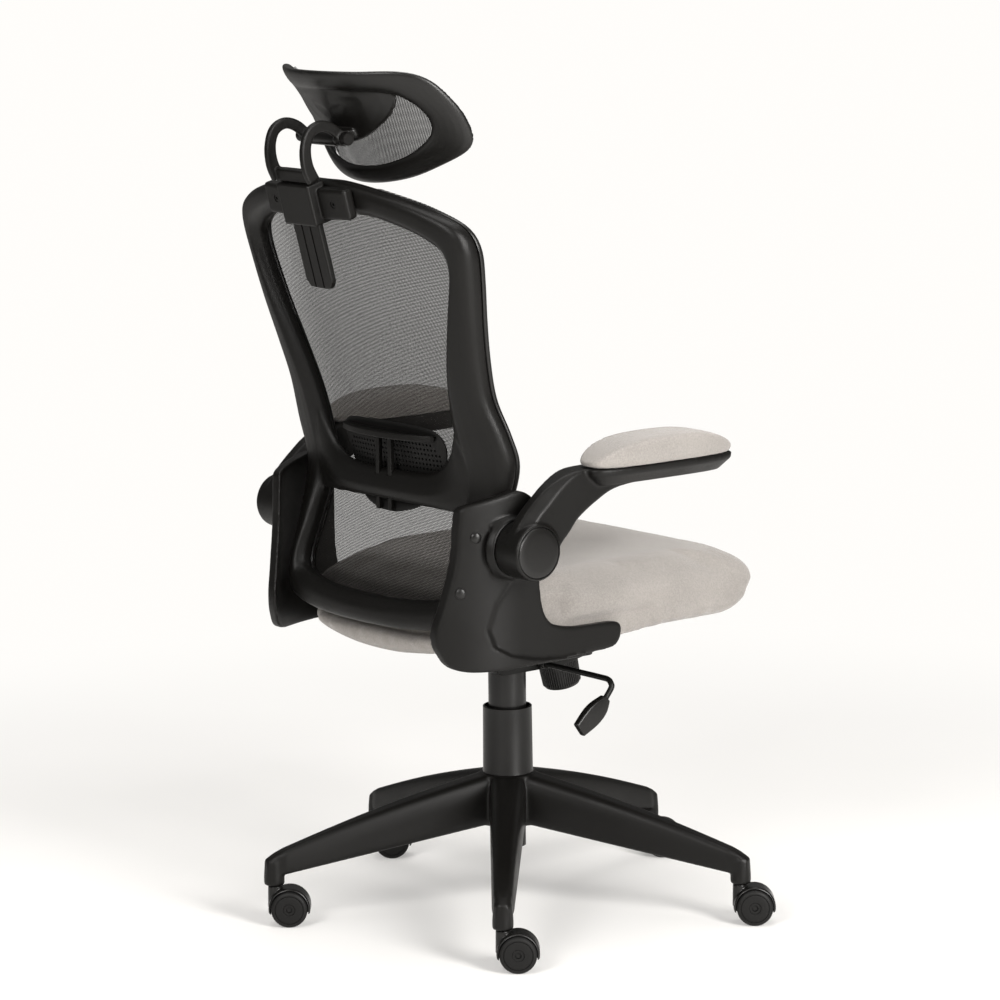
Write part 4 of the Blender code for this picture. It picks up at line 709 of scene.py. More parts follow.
# %% Five of them round the hub
def star_tree():
    tree, given = new_tree("base_arms", {"Arms": BASE_ARMS, "Hub radius": 0.039, "Hub height": 0.07})
    circle = node(tree, "GeometryNodeMeshCircle", {"Vertices": given["Arms"], "Radius": 0.001}).outputs[0]
    index = node(tree, "GeometryNodeInputIndex").outputs[0]
    step = maths(tree, "DIVIDE", 2.0 * math.pi, given["Arms"])
    angle = maths(tree, "MULTIPLY", index, step)
    turn = node(tree, "ShaderNodeCombineXYZ", {"Z": angle}).outputs[0]
    rotation = node(tree, "FunctionNodeEulerToRotation", {0: turn}).outputs[0]
    arms = node(tree, "GeometryNodeInstanceOnPoints",
                {"Points": circle, "Instance": given["Geometry"], "Rotation": rotation}).outputs[0]
    hub = node(tree, "GeometryNodeMeshCylinder",
               {"Vertices": 72, "Radius": given["Hub radius"], "Depth": given["Hub height"]}).outputs[0]
    middle = node(tree, "ShaderNodeCombineXYZ", {"Z": (HUB_TOP + HUB_BOTTOM) / 2}).outputs[0]
    placed = node(tree, "GeometryNodeTransform", {"Geometry": hub, "Translation": middle}).outputs[0]
    joined = tree.nodes.new("GeometryNodeJoinGeometry")
    tree.links.new(arms, joined.inputs[0])
    tree.links.new(placed, joined.inputs[0])
    end_tree(tree, joined.outputs[0], given["Material"])
    return tree


star = grown("star", merged(base_arm(), tip_boss()), star_tree(), NYLON,
             **{"Hub height": HUB_TOP - HUB_BOTTOM})
star_mesh = star.data
bpy.data.objects.remove(star)
star_mesh.transform(Matrix.Rotation(math.radians(BASE_TURN), 4, "Z"))
star_mesh = welded(star_mesh, 0.0021, 6)
bore = drum(Vector((0.0, 0.0, (HUB_TOP + HUB_BOTTOM) / 2)), 0.0243, 0.10, "Z")
base = thing("base_moulding", settle(cut_from(star_mesh, bore)))
base.data.shade_smooth()
base.data.set_sharp_from_angle(angle=math.radians(60.0))
dress(base, NYLON, "base", ["base_star"])
print("base:", len(base.data.polygons), "faces")

# %% [markdown]
# ## Gas column
# Two telescoping plastic sleeves hide the gas lift. The lower one stands on the hub and stays there, the
# upper one slides into it with the seat. Both are turned shapes with thin visible lips.


# %% Sleeves, tube and lift
def turned_piece(name, profile, look, body, stands_for, centre=(0.0, 0.0, 0.0), axis="Z", ring=True,
                 steps=96):
    made = thing(name, settle(lathe(profile, centre, axis, steps, ring)))
    made.data.shade_smooth()
    made.data.set_sharp_from_angle(angle=math.radians(30.0))
    return dress(made, look, body, [stands_for] if stands_for else ())


SLEEVE_TOP, HOUSING_BOTTOM = 0.285, 0.340
lower = [(0.0334, SLEEVE_TOP - 0.0006), (0.0340, SLEEVE_TOP - 0.0012), (0.0347, HUB_TOP + 0.004),
         (0.0352, HUB_TOP + 0.0004), (0.0246, HUB_TOP + 0.0004), (0.0246, HUB_TOP + 0.0025),
         (0.0315, HUB_TOP + 0.0025), (0.0315, SLEEVE_TOP - 0.0006), (0.0319, SLEEVE_TOP)]
turned_piece("sleeve_lower", lower, COVER, "base", "shroud_lower")
upper_low = SLEEVE_TOP - 0.089
upper = [(0.0258, HOUSING_BOTTOM - 0.0004), (0.0262, HOUSING_BOTTOM - 0.0010), (0.0262, upper_low),
         (0.0247, upper_low), (0.0247, HOUSING_BOTTOM - 0.003), (0.0145, HOUSING_BOTTOM - 0.003),
         (0.0145, HOUSING_BOTTOM - 0.0004)]
turned_piece("sleeve_upper", upper, COVER, "carrier", "shroud_upper")
for name, look in (("column_tube", PAINTED), ("gas_cylinder", PAINTED), ("column_bush", ACETAL),
                   ("thrust_bearing", STEEL), ("piston_rod", STEEL), ("release_button", STEEL)):
    frame["nodes"][name].data.materials.clear()
    frame["nodes"][name].data.materials.append(look)
print("column done")

# %% [markdown]
# ## Casters
# Each caster is a twin wheel under a hood. The hood is a thick arc, cut out over both wheels so that only a
# web is left between them, and its edges are well rounded. The wheels have a soft tyre, a groove and a
# dished hub.

# %% Caster shapes
WHEEL, TRAIL, CASTER_TURN = 0.025, 0.0197, 230.8
HOOD_IN, HOOD_OUT, HALF_COVER, WEB = 0.0264, 0.0288, 0.0177, 0.0085
WHEEL_IN, WHEEL_OUT, WHEEL_BORE = 0.00525, 0.02175, 0.0043


def hood_mesh():
    arc = [(TRAIL + HOOD_OUT * math.cos(math.radians(a)), WHEEL + HOOD_OUT * math.sin(math.radians(a)))
           for a in range(-15, 196, 6)]
    shell = softened(prism(arc, -HALF_COVER, HALF_COVER, "Y"), 0.0030, 4, 50.0)
    neck_top = SOCKET_BOTTOM - 0.0012
    neck = lathe([(0.0, neck_top), (0.0088, neck_top), (0.0098, neck_top - 0.001), (0.0102, WHEEL),
                  (0.0, WHEEL)], (0.0, 0.0, 0.0), steps=40)
    body = welded(merged(shell, neck), 0.0009, 2)
    tools = [drum(Vector((TRAIL, side * (WEB / 2 + 0.02), WHEEL)), HOOD_IN, 0.04, "Y", 72)
             for side in (-1, 1)]
    tools.append(drum(Vector((TRAIL, 0.0, WHEEL)), WHEEL_BORE, 0.03, "Y", 32))
    return cut_from(body, *tools)


def wheel_mesh(side):
    inner, outer = WHEEL_IN, WHEEL_OUT
    face = [(0.0, outer - 0.0016), (0.0075, outer - 0.0016), (0.0085, outer - 0.0003), (0.0175, outer),
            (0.0186, outer - 0.0003), (0.0190, outer - 0.0012), (0.0196, outer - 0.0012),
            (0.0200, outer - 0.0002), (0.0212, outer - 0.0003), (0.0235, outer - 0.0014),
            (WHEEL, outer - 0.0036), (WHEEL, inner + 0.0022), (WHEEL - 0.0009, inner + 0.0006),
            (WHEEL - 0.0025, inner), (0.0060, inner), (0.0055, inner - 0.001), (0.0, inner - 0.001)]
    if side > 0:
        face = face[:-3] + [(0.0040, inner), (0.0040, 0.004 - outer), (0.0, 0.004 - outer)]
    else:
        face = [(0.0044, outer - 0.0016)] + face[1:-3] + [(0.0044, inner)]
    points = [(r, side * h) for r, h in face]
    return lathe(points, (TRAIL, 0.0, WHEEL), "Y", 72, ring=side < 0)


# %% Five casters
hood, wheels = hood_mesh(), {1: wheel_mesh(1), -1: wheel_mesh(-1)}
print("hood faces:", len(hood.polygons))
for i in range(BASE_ARMS):
    angle = math.radians(BASE_TURN + 360.0 * i / BASE_ARMS)
    spot = Matrix.Translation(AXIS + Vector((math.cos(angle), math.sin(angle), 0.0)) * BASE_RADIUS)
    place = spot @ Matrix.Rotation(math.radians(CASTER_TURN), 4, "Z")
    parts = [(f"caster_hood_{i + 1}", hood, COVER, f"caster_{i + 1}"),
             (f"caster_wheel_left_{i + 1}", wheels[1], RUBBER, f"wheels_{i + 1}"),
             (f"caster_wheel_right_{i + 1}", wheels[-1], RUBBER, f"wheels_{i + 1}")]
    for name, source, look, body in parts:
        mesh = source.copy()
        mesh.transform(place)
        made = thing(name + "_finished", mesh)
        mesh.shade_smooth()
        mesh.set_sharp_from_angle(angle=math.radians(40.0))
        dress(made, look, body, [name])
    stem = frame["nodes"][f"caster_stem_{i + 1}"].data
    stem.materials.clear()
    stem.materials.append(STEEL)
print("casters done")

# %% [markdown]
# ## The shape of the back
# The frame, its front rim, the net and the lumbar pad all follow one curved surface: a rear profile that
# bends in at the waist, wrapped round the sitter. Writing that surface once as a function keeps them
# together.

# %% Back surface
BACK_TOP, BACK_BOTTOM, BACK_CURVE = 1.035, 0.436, 0.7
BACK_LINE = [(0.400, 0.253), (0.490, 0.246), (0.560, 0.222), (0.630, 0.203), (0.700, 0.217), (0.800, 0.248),
             (0.860, 0.266), (0.950, 0.289), (1.060, 0.320), (1.200, 0.360)]
FRAME_FRONT, FRAME_CROWN = 0.0140, 0.0135


def back_surface(x, z):
    """The back's rear profile, interpolated smoothly through its points and wrapped round the sitter."""
    last = len(BACK_LINE) - 1
    i = max(k for k in range(last) if BACK_LINE[k][0] <= z or k == 0)

    def slope(k):
        low, high = BACK_LINE[max(k - 1, 0)], BACK_LINE[min(k + 1, last)]
        return (high[1] - low[1]) / (high[0] - low[0])

    (z0, y0), (z1, y1) = BACK_LINE[i], BACK_LINE[i + 1]
    run = z1 - z0
    t = (z - z0) / run
    y = (y0 * (2 * t**3 - 3 * t**2 + 1) + run * slope(i) * (t**3 - 2 * t**2 + t)
         + y1 * (3 * t**2 - 2 * t**3) + run * slope(i + 1) * (t**3 - t**2))
    return y - BACK_CURVE * x * x


FRAME_OUTER = [
    (0.0, BACK_TOP), (0.055, BACK_TOP - 0.002), (0.15, BACK_TOP - 0.020), (0.200, BACK_TOP - 0.036),
    (0.230, BACK_TOP - 0.053), (0.241, 0.955), (0.236, 0.910), (0.227, 0.860), (0.216, 0.800), (0.211, 0.750),
    (0.2195, 0.705), (0.2230, 0.668), (0.2105, 0.622), (0.200, 0.575), (0.192, 0.520), (0.185, 0.470),
    (0.165, BACK_BOTTOM + 0.011), (0.10, BACK_BOTTOM + 0.002), (0.0, BACK_BOTTOM),
]
FRAME_INNER = [
    (0.0, 0.993), (0.088, 0.990), (0.148, 0.976), (0.184, 0.960), (0.201, 0.9435), (0.203, 0.915),
    (0.185, 0.860), (0.162, 0.795), (0.150, 0.750), (0.1435, 0.700), (0.148, 0.650), (0.155, 0.600),
    (0.160, 0.550), (0.163, 0.500), (0.148, 0.484), (0.08, 0.476), (0.0, 0.474),
]


# %% Frame section carried round its outline
def ring(outer, inner, section, surface):
    """A frame between two outlines. Section points: share from outer to inner, depth behind the surface."""
    rows = []
    for (xo, zo), (xi, zi) in zip(outer, inner):
        row = []
        for share, depth in section:
            x, z = xo + (xi - xo) * share, zo + (zi - zo) * share
            row.append(Vector((x, surface(x, z) + depth, z)))
        rows.append(row)
    return loft(rows, end_to_end=True, name="ring")


def crossbar():
    rows = []
    columns, reach = 90, 0.168
    for i in range(columns + 1):
        x = reach * (2 * i / columns - 1)
        low = 0.598 - 0.004 * (x / 0.15) ** 2
        high = 0.640 + min(0.034 * (abs(x) / 0.13) ** 6, 0.075)
        inside = 1.0 - smoothstep(abs(x), 0.120, 0.150)
        ahead = -0.004 * inside - 0.011 * (1.0 - inside)
        row = []
        for share, depth in ((0.05, ahead), (0.0, ahead + 0.002), (0.0, 0.001), (0.16, 0.0085),
                             (0.36, 0.0125), (0.62, 0.0115), (0.86, 0.0065), (1.0, 0.0),
                             (1.0, ahead + 0.002), (0.95, ahead)):
            z = low + (high - low) * share
            row.append(Vector((x, back_surface(x, z) + depth, z)))
        rows.append(row)
    return loft(rows, caps=True, name="crossbar")


outer, inner = loop(FRAME_OUTER, 240), loop(FRAME_INNER, 240)
front = -FRAME_FRONT
SECTION = [(0.06, front), (0.0, 0.004 + front), (0.0, 0.001), (0.05, 0.0075), (0.14, 0.0115),
           (0.30, FRAME_CROWN), (0.55, 0.0142), (0.72, FRAME_CROWN), (0.86, 0.0082), (1.0, 0.0),
           (1.0, 0.002 + front), (0.95, front)]
slots = [block((side * 0.013 - 0.0042, 0.2030, 0.56), (side * 0.013 + 0.0042, 0.2114, 0.68))
         for side in (-1, 1)]
frame_mesh = welded(merged(ring(outer, inner, SECTION, back_surface), crossbar()), 0.0022, 5)
back = thing("back_frame_moulding", settle(cut_from(frame_mesh, *slots)))
back.data.shade_smooth()
back.data.set_sharp_from_angle(angle=math.radians(60.0))
dress(back, NYLON, "seat", ["back_frame"])
print("back frame:", len(back.data.polygons), "faces")

# %% [markdown]
# The net is not clamped by the frame itself but by a thin satin rim that is pushed on from the front, so
# the rim is its own ring with the same outline.

# %% Rim that holds the net
seat_of_rim = front - 0.0008
rim_face = seat_of_rim - 0.0070
NET_GAP = 0.0024
RIM = [(0.08, seat_of_rim), (0.045, seat_of_rim), (0.03, seat_of_rim - 0.0015), (0.03, rim_face + 0.003),
       (0.045, rim_face + 0.001), (0.08, rim_face), (0.82, rim_face), (0.86, rim_face + 0.001),
       (0.88, rim_face + 0.003), (0.88, seat_of_rim - 0.002), (0.84, seat_of_rim)]
rim = thing("net_rim", settle(ring(outer, inner, RIM, back_surface)))
rim.data.shade_smooth()
rim.data.set_sharp_from_angle(angle=math.radians(50.0))
dress(rim, COVER, "seat", ["mesh_rim"])


# %% [markdown]
# ## The net
# A net under tension is a smooth sheet, so a level grid that follows the surface is enough. The grid also
# gets the map that the holes are drawn on: metres along the cloth in both directions. It is one knitted
# layer with a real thickness of under a millimetre.

# %% Net sheet
def outline_reach(edge, z):
    """Half the width of an outline at a height."""
    found = 0.0
    for before, after in zip(edge, edge[1:]):
        if before.y != after.y and min(before.y, after.y) <= z <= max(before.y, after.y):
            found = max(found, before.x + (after.x - before.x) * (z - before.y) / (after.y - before.y))
    return found


def net_sheet(name, half, surface, depth, low, high, inset, rows, columns):
    """A net inside an outline, and its area and its sizes across and along."""
    edge = spline(half, 10)
    shape = bmesh.new()
    made, places = [], []
    along, middle_before = 0.0, None
    for i in range(rows + 1):
        z = low + (high - low) * i / rows
        width = outline_reach(edge, z) - inset
        middle = Vector((0.0, surface(0.0, z), z))
        along += 0.0 if middle_before is None else (middle - middle_before).length
        middle_before = middle
        line = [Vector((x, surface(x, z) + depth, z)) for x in
                (width * (2 * k / columns - 1) for k in range(columns + 1))]
        across = [0.0]
        for before, after in zip(line, line[1:]):
            across.append(across[-1] + (after - before).length)
        made.append([shape.verts.new(point) for point in line])
        places.append([(value - across[-1] / 2, along) for value in across])
    layer = shape.loops.layers.uv.new("cloth")
    for i in range(rows):
        for k in range(columns):
            corners = ((i, k), (i, k + 1), (i + 1, k + 1), (i + 1, k))
            face = shape.faces.new([made[a][b] for a, b in corners])
            for corner, (a, b) in zip(face.loops, corners):
                corner[layer].uv = places[a][b]
    area = sum(face.calc_area() for face in shape.faces)
    widest = max(row[-1][0] - row[0][0] for row in places)
    mesh = bpy.data.meshes.new(name)
    shape.to_mesh(mesh)
    shape.free()
    made = thing(name, settle(mesh))
    made.data.materials.append(NET)
    wall = made.modifiers.new("Thickness", "SOLIDIFY")
    wall.thickness, wall.offset = 0.0008, 0.0
    baked(made, 0.0)
    return made, area, (widest, along)


back_net, area, flat = net_sheet("back_net", FRAME_OUTER, back_surface, rim_face - NET_GAP,
                                 BACK_BOTTOM + 0.012, BACK_TOP - 0.010, 0.008, 110, 60)
dress(back_net, NET, "seat", ["back_mesh"])
print("back net:", round(area, 3), "square metres, cut from", [round(v, 3) for v in flat])

# %% [markdown]
# ## Lumbar support
# A thin perforated pad presses on the net from behind. It hangs on a crescent ledge with two posts, which
# slide in the crossbar. The holes follow a grid, so a Geometry Nodes tree places a punch at every grid
# point and cuts them all in one Boolean.

# %% Pad blank
PAD_HALF = [(0.0, 0.703), (0.05, 0.7025), (0.092, 0.698), (0.108, 0.681), (0.103, 0.652), (0.090, 0.622),
            (0.064, 0.596), (0.030, 0.584), (0.0, 0.581)]


def pad_blank():
    outline = loop(PAD_HALF, 120)
    middle = Vector((0.0, 0.645))
    rear, thick = -0.0120, 0.0040
    shares = [0.12, 0.25, 0.4, 0.55, 0.7, 0.82, 0.92, 0.975]

    def row(share, depth):
        return [Vector((p.x, back_surface(p.x, p.y) + depth, p.y)) for p in
                (middle.lerp(point, share) for point in outline)]

    rows = [row(s, rear - thick) for s in shares] + [row(1.0, rear - thick * 0.75),
                                                     row(1.0, rear - thick * 0.25)]
    rows += [row(s, rear) for s in reversed(shares)]
    poles = [Vector((0.0, back_surface(0.0, middle.y) + depth, middle.y)) for depth in (rear - thick, rear)]
    return domed(rows, *poles, name="pad")


# %% Punched holes
def punch_tree():
    tree, given = new_tree("punched_pad", {"Columns": 29, "Rows": 14, "Pitch": 0.0068, "Hole radius": 0.0019})
    sizes = [maths(tree, "MULTIPLY", maths(tree, "SUBTRACT", given[name], 1.0), given["Pitch"])
             for name in ("Columns", "Rows")]
    grid = node(tree, "GeometryNodeMeshGrid", {"Size X": sizes[0], "Size Y": sizes[1],
                                               "Vertices X": given["Columns"],
                                               "Vertices Y": given["Rows"]}).outputs[0]
    upright = node(tree, "GeometryNodeTransform", {"Geometry": grid, "Rotation": (math.pi / 2, 0.0, 0.0),
                                                   "Translation": (0.0, 0.19, 0.640)}).outputs[0]
    place = node(tree, "GeometryNodeInputPosition").outputs[0]
    split = node(tree, "ShaderNodeSeparateXYZ", {0: place})
    # keep the punches inside an ellipse that leaves the pad a plain border
    x = maths(tree, "DIVIDE", split.outputs[0], 0.098)
    z = maths(tree, "DIVIDE", maths(tree, "SUBTRACT", split.outputs[2], 0.6480), 0.050)
    far = maths(tree, "ADD", maths(tree, "POWER", maths(tree, "ABSOLUTE", x), 2.4),
                maths(tree, "POWER", maths(tree, "ABSOLUTE", z), 2.4))
    outside = node(tree, "FunctionNodeCompare", {0: far, 1: 1.0}, operation="GREATER_THAN").outputs[0]
    kept = node(tree, "GeometryNodeDeleteGeometry", {"Geometry": upright, "Selection": outside}).outputs[0]
    punch = node(tree, "GeometryNodeMeshCylinder", {"Vertices": 8, "Radius": given["Hole radius"],
                                                    "Depth": 0.12}).outputs[0]
    laid = node(tree, "GeometryNodeTransform", {"Geometry": punch,
                                                "Rotation": (math.pi / 2, 0.0, 0.0)}).outputs[0]
    punches = node(tree, "GeometryNodeInstanceOnPoints", {"Points": kept, "Instance": laid}).outputs[0]
    real = node(tree, "GeometryNodeRealizeInstances", {"Geometry": punches}).outputs[0]
    cut = node(tree, "GeometryNodeMeshBoolean", {0: given["Geometry"], 1: real}, operation="DIFFERENCE",
               solver="MANIFOLD").outputs[0]
    end_tree(tree, cut, given["Material"])
    return tree


pad = grown("lumbar_pad_punched", pad_blank(), punch_tree(), DULL, 40.0)
settle(pad.data)
dress(pad, DULL, "lumbar", ["lumbar_pad"])
print("lumbar pad:", len(pad.data.polygons), "faces")


# %% Ledge and posts
def lumbar_ledge():
    rows = []
    columns, half, level = 70, 0.098, 0.690
    for i in range(columns + 1):
        x = half * (2 * i / columns - 1)
        ahead = back_surface(x, level) - 0.0120 + 0.0012
        behind = ahead + 0.004 + 0.021 * max(1.0 - (x / half) ** 2, 0.0) ** 0.6
        rows.append([Vector((x, ahead, level - 0.004)), Vector((x, ahead, level + 0.002)),
                     Vector((x, behind, level + 0.003)), Vector((x, behind, level - 0.006))])
    shapes = [loft(rows, caps=True, name="ledge")]
    for side in (-1, 1):
        x = side * 0.013
        shapes.append(block((x - 0.0035, 0.2037, 0.583), (x + 0.0035, 0.2107, level)))
    return welded(merged(*shapes), 0.0009, 3)


ledge = thing("lumbar_ledge", settle(lumbar_ledge()))
ledge.data.shade_smooth()
dress(ledge, NYLON, "lumbar", ["lumbar_slider"])

# %% [markdown]
# ## Side brackets
# Each bracket is a thick moulded plate that carries the back and the arm. It starts flat: the outline is
# welded into a dense skin, bent round the back frame by a rule, and given the sunk panel that runs from
# under the boss to the foot. The boss and the flange under the seat are then welded on with fillets.

# %% Bracket
BRACKET_FACE, BRACKET_THICKNESS = 0.2345, 0.0180
PIVOT_Y, PIVOT_Z, PIVOT_RADIUS, BOSS_LENGTH = 0.178, 0.558, 0.0375, 0.0055
BRACKET_OUTLINE = [
    (0.1290, 0.560), (0.1300, 0.600), (0.1450, 0.622), (0.1660, 0.632), (0.1900, 0.628), (0.2390, 0.615),
    (0.2450, 0.600), (0.2500, 0.540), (0.2620, 0.483), (0.2700, 0.450), (0.2650, 0.420), (0.2400, 0.3965),
    (0.1500, 0.3965), (0.0500, 0.399), (0.0050, 0.401), (-0.0080, 0.409), (-0.0120, 0.420), (-0.0060, 0.4345),
    (0.0400, 0.4365), (0.0700, 0.438), (0.1000, 0.444), (0.1150, 0.453), (0.1250, 0.474), (0.1290, 0.510)]
PANEL_EDGE = [(0.530, 0.170), (0.514, 0.1835), (0.484, 0.2060), (0.452, 0.2165), (0.427, 0.2080),
              (0.4135, 0.1850), (0.404, 0.1450), (0.399, 0.1000)]


def panel_depth(y, z):
    """How deep a point of the bracket's face lies in the sunk panel."""
    if z > 0.530:
        return 0.0
    edge = -1.0
    for (z0, y0), (z1, y1) in zip(PANEL_EDGE, PANEL_EDGE[1:]):
        if z1 <= z <= z0:
            edge = y0 + (y1 - y0) * (z0 - z) / (z0 - z1)
    return 0.0050 * smoothstep(edge - y, 0.0, 0.011) * smoothstep(0.530 - z, 0.0, 0.020)


def bracket(side):
    outline = evenly(spline([Vector(point) for point in BRACKET_OUTLINE], 8, closed=True), 160)
    low, high = sorted((side * (BRACKET_FACE - BRACKET_THICKNESS), side * BRACKET_FACE))
    plate = welded(softened(prism(outline, low, high), 0.0022, 3, 50.0), 0.0020, 1)

    def bend(p):
        sunk = panel_depth(p.y, p.z) * smoothstep(abs(p.x), BRACKET_FACE - 0.006, BRACKET_FACE)
        inward = 3.9 * max(p.y - 0.160, 0.0) ** 2 + sunk
        return Vector((p.x - side * inward, p.y, p.z))

    moved(plate, bend)
    inner = side * (BRACKET_FACE - BRACKET_THICKNESS + 0.003)
    low, high = sorted((side * 0.140, inner))
    flange = block((low, 0.030, 0.3925), (high, 0.150, 0.3985))
    end = BRACKET_FACE + BOSS_LENGTH
    profile = [(0.0, side * end), (PIVOT_RADIUS + 0.001, side * end),
               (PIVOT_RADIUS + 0.002, side * (end - 0.001)), (PIVOT_RADIUS + 0.007, side * (end - 0.0115)),
               (0.0, side * (end - 0.0115))]
    boss = lathe(profile, (0.0, PIVOT_Y, PIVOT_Z), "X", 96)
    whole = welded(merged(plate, flange, boss), 0.0020, 4)
    hole = drum(Vector((side * end, PIVOT_Y, PIVOT_Z)), 0.0063, 0.10, "X", 40)
    return cut_from(whole, hole)


for side_name, side in (("right", -1), ("left", 1)):
    made = thing(f"side_bracket_{side_name}_moulding", settle(bracket(side)))
    made.data.shade_smooth()
    made.data.set_sharp_from_angle(angle=math.radians(60.0))
    dress(made, NYLON, "seat", [f"side_bracket_{side_name}"])
    print(made.name, len(made.data.polygons), "faces")


# %% [markdown]
# The brackets are bolted to the back frame through domed caps, two a side. A tree puts a low dome on each
# seat, turned to face along the seat's stored direction.

# %% Domed bolt caps
def dome_tree():
    tree, given = new_tree("domed_caps", {"Radius": 0.0074, "Flatness": 0.42})
    ball = node(tree, "GeometryNodeMeshUVSphere", {"Segments": 32, "Rings": 16,
                                                   "Radius": given["Radius"]}).outputs[0]
    squeeze = node(tree, "ShaderNodeCombineXYZ", {"X": 1.0, "Y": 1.0, "Z": given["Flatness"]}).outputs[0]
    low = node(tree, "GeometryNodeTransform", {"Geometry": ball, "Scale": squeeze}).outputs[0]
    end_tree(tree, on_points(tree, given["Geometry"], low), given["Material"])
    return tree


seats = []
for side in (-1, 1):
    for y, z in ((0.2270, 0.5750), (0.2450, 0.5020)):
        lean = 2 * 3.9 * (y - 0.160)
        x = side * (BRACKET_FACE - 3.9 * (y - 0.160) ** 2)
        seats.append(((x, y, z), Vector((side, lean, 0.0)).normalized()))
caps = grown("domed_caps", aimed_points(seats), dome_tree(), COVER)
settle(caps.data)
dress(caps, COVER, "seat", ())
print("domed caps:", len(seats))

# %% [markdown]
# ## Flip-up arms
# An arm is a bar that leaves a round hub, rises and turns level under the pad. Its top corners are cut back
# in a wide bevel that narrows toward the pad. It is lofted between an upper and a lower line, then welded
# to its hub and to the tray that carries the pad.

# %% Arm
HUB_IN = BRACKET_FACE + BOSS_LENGTH + 0.0008
HUB_OUT = HUB_IN + 0.0455
PAD_X, PAD_Y, PAD_BOTTOM, PAD_LENGTH, PAD_WIDTH, PAD_HEIGHT = 0.2795, -0.031, 0.6590, 0.250, 0.072, 0.042
ARM_UPPER = [(0.2150, 0.5600), (0.2120, 0.5740), (0.1920, 0.6030), (0.1700, 0.6240), (0.1450, 0.6420),
             (0.1120, 0.6560), (0.0700, 0.6586), (0.0200, 0.6586), (-0.0500, 0.6586), (-0.1200, 0.6586),
             (-0.1480, 0.6584)]
ARM_LOWER = [(0.1410, 0.5480), (0.1330, 0.5640), (0.1180, 0.5790), (0.1030, 0.5950), (0.0720, 0.6140),
             (0.0390, 0.6275), (-0.0140, 0.6325), (-0.0700, 0.6330), (-0.1100, 0.6335), (-0.1300, 0.6350),
             (-0.1490, 0.6480)]


def tray_outline(side, inset, count=72):
    made = []
    for i in range(count):
        angle = 2 * math.pi * i / count
        cx, cy = math.cos(angle), math.sin(angle)
        made.append((side * PAD_X + (PAD_WIDTH / 2 - inset) * math.copysign(abs(cx) ** 0.62, cx),
                     PAD_Y + (PAD_LENGTH / 2 - inset) * math.copysign(abs(cy) ** 0.62, cy)))
    return made


def arm(side):
    upper, lower = spline(ARM_UPPER, 6), spline(ARM_LOWER, 6)
    middle, half = (HUB_IN + HUB_OUT) / 2, (HUB_OUT - HUB_IN) / 2 - 0.003
    rows = []
    for i, (top, bottom) in enumerate(zip(upper, lower)):
        share = i / (len(upper) - 1)
        height = (top - bottom).length
        cut = min(0.013 * (1.0 - smoothstep(share, 0.30, 0.62)) + 0.002, height * 0.4)
        wide = half - 0.001
        section = [(wide, 0.004), (wide - 0.004, 0.0), (0.004 - wide, 0.0), (-wide, 0.004),
                   (-wide, height - cut), (cut * 0.8 - wide, height), (wide - cut * 0.8, height),
                   (wide, height - cut)]
        up = (top - bottom).normalized()
        rows.append([Vector((side * middle + a, bottom.x + up.x * b, bottom.y + up.y * b))
                     for a, b in section])
    bar = loft(rows, caps=True, name="bar")
    centre = (0.0, PIVOT_Y, PIVOT_Z)
    profile = [(0.0, side * HUB_OUT), (PIVOT_RADIUS - 0.0012, side * HUB_OUT),
               (PIVOT_RADIUS, side * (HUB_OUT - 0.0012)), (PIVOT_RADIUS, side * (HUB_IN + 0.0012)),
               (PIVOT_RADIUS - 0.0012, side * HUB_IN), (0.0, side * HUB_IN)]
    hub = lathe(profile, centre, "X", 96)
    tail = PAD_BOTTOM - 0.0004
    rows = [[Vector((x, y, z)) for x, y in tray_outline(side, inset)]
            for z, inset in ((tail - 0.0240, 0.0210), (tail - 0.0225, 0.0180), (tail - 0.0095, 0.0040),
                             (tail - 0.0075, 0.0025), (tail, 0.0018))]
    tray = loft(rows, caps=True, name="tray")
    whole = welded(merged(bar, hub, tray), 0.0018, 4)
    pocket = drum(Vector((side * (HUB_OUT + 0.003), PIVOT_Y, PIVOT_Z)), PIVOT_RADIUS - 0.0033, 0.020, "X", 96)
    hole = drum(Vector((side * HUB_IN, PIVOT_Y, PIVOT_Z)), 0.0063, 0.12, "X", 40)
    return cut_from(whole, pocket, hole)


for side_name, side in (("right", -1), ("left", 1)):
    made = thing(f"arm_{side_name}_moulding", settle(arm(side)))
    made.data.shade_smooth()
    made.data.set_sharp_from_angle(angle=math.radians(45.0))
    dress(made, NYLON, f"arm_{side_name[0]}", [f"arm_{side_name}"])
    reach = PIVOT_RADIUS - 0.0041
    cap = [(0.0, side * (HUB_OUT + 0.0020)), (reach - 0.010, side * (HUB_OUT + 0.0019)),
           (reach - 0.003, side * (HUB_OUT + 0.0013)), (reach - 0.0008, side * (HUB_OUT + 0.0006)),
           (reach, side * (HUB_OUT - 0.0004)), (reach, side * (HUB_OUT - 0.0030)),
           (0.0, side * (HUB_OUT - 0.0030))]
    turned_piece(f"pivot_cap_{side_name}_dished", cap, COVER, f"arm_{side_name[0]}", f"pivot_cap_{side_name}",
                 (0.0, PIVOT_Y, PIVOT_Z), "X", ring=False)
    bolt = frame["nodes"][f"pivot_bolt_{side_name}"].data
    bolt.materials.clear()
    bolt.materials.append(STEEL)
    print(made.name, len(made.data.polygons), "faces")

# %% [markdown]
# ## Padding
# Foam under tight cloth takes a shape that is hard to draw: full in the middle, drawn in at its edges. So
# each padded piece starts a little small, is remeshed evenly, and is blown up as a cloth with pressure
# inside. A cap keeps any point from moving too far. What the cloth may not enter, such as the brackets, is
# kept free by a rule afterwards.


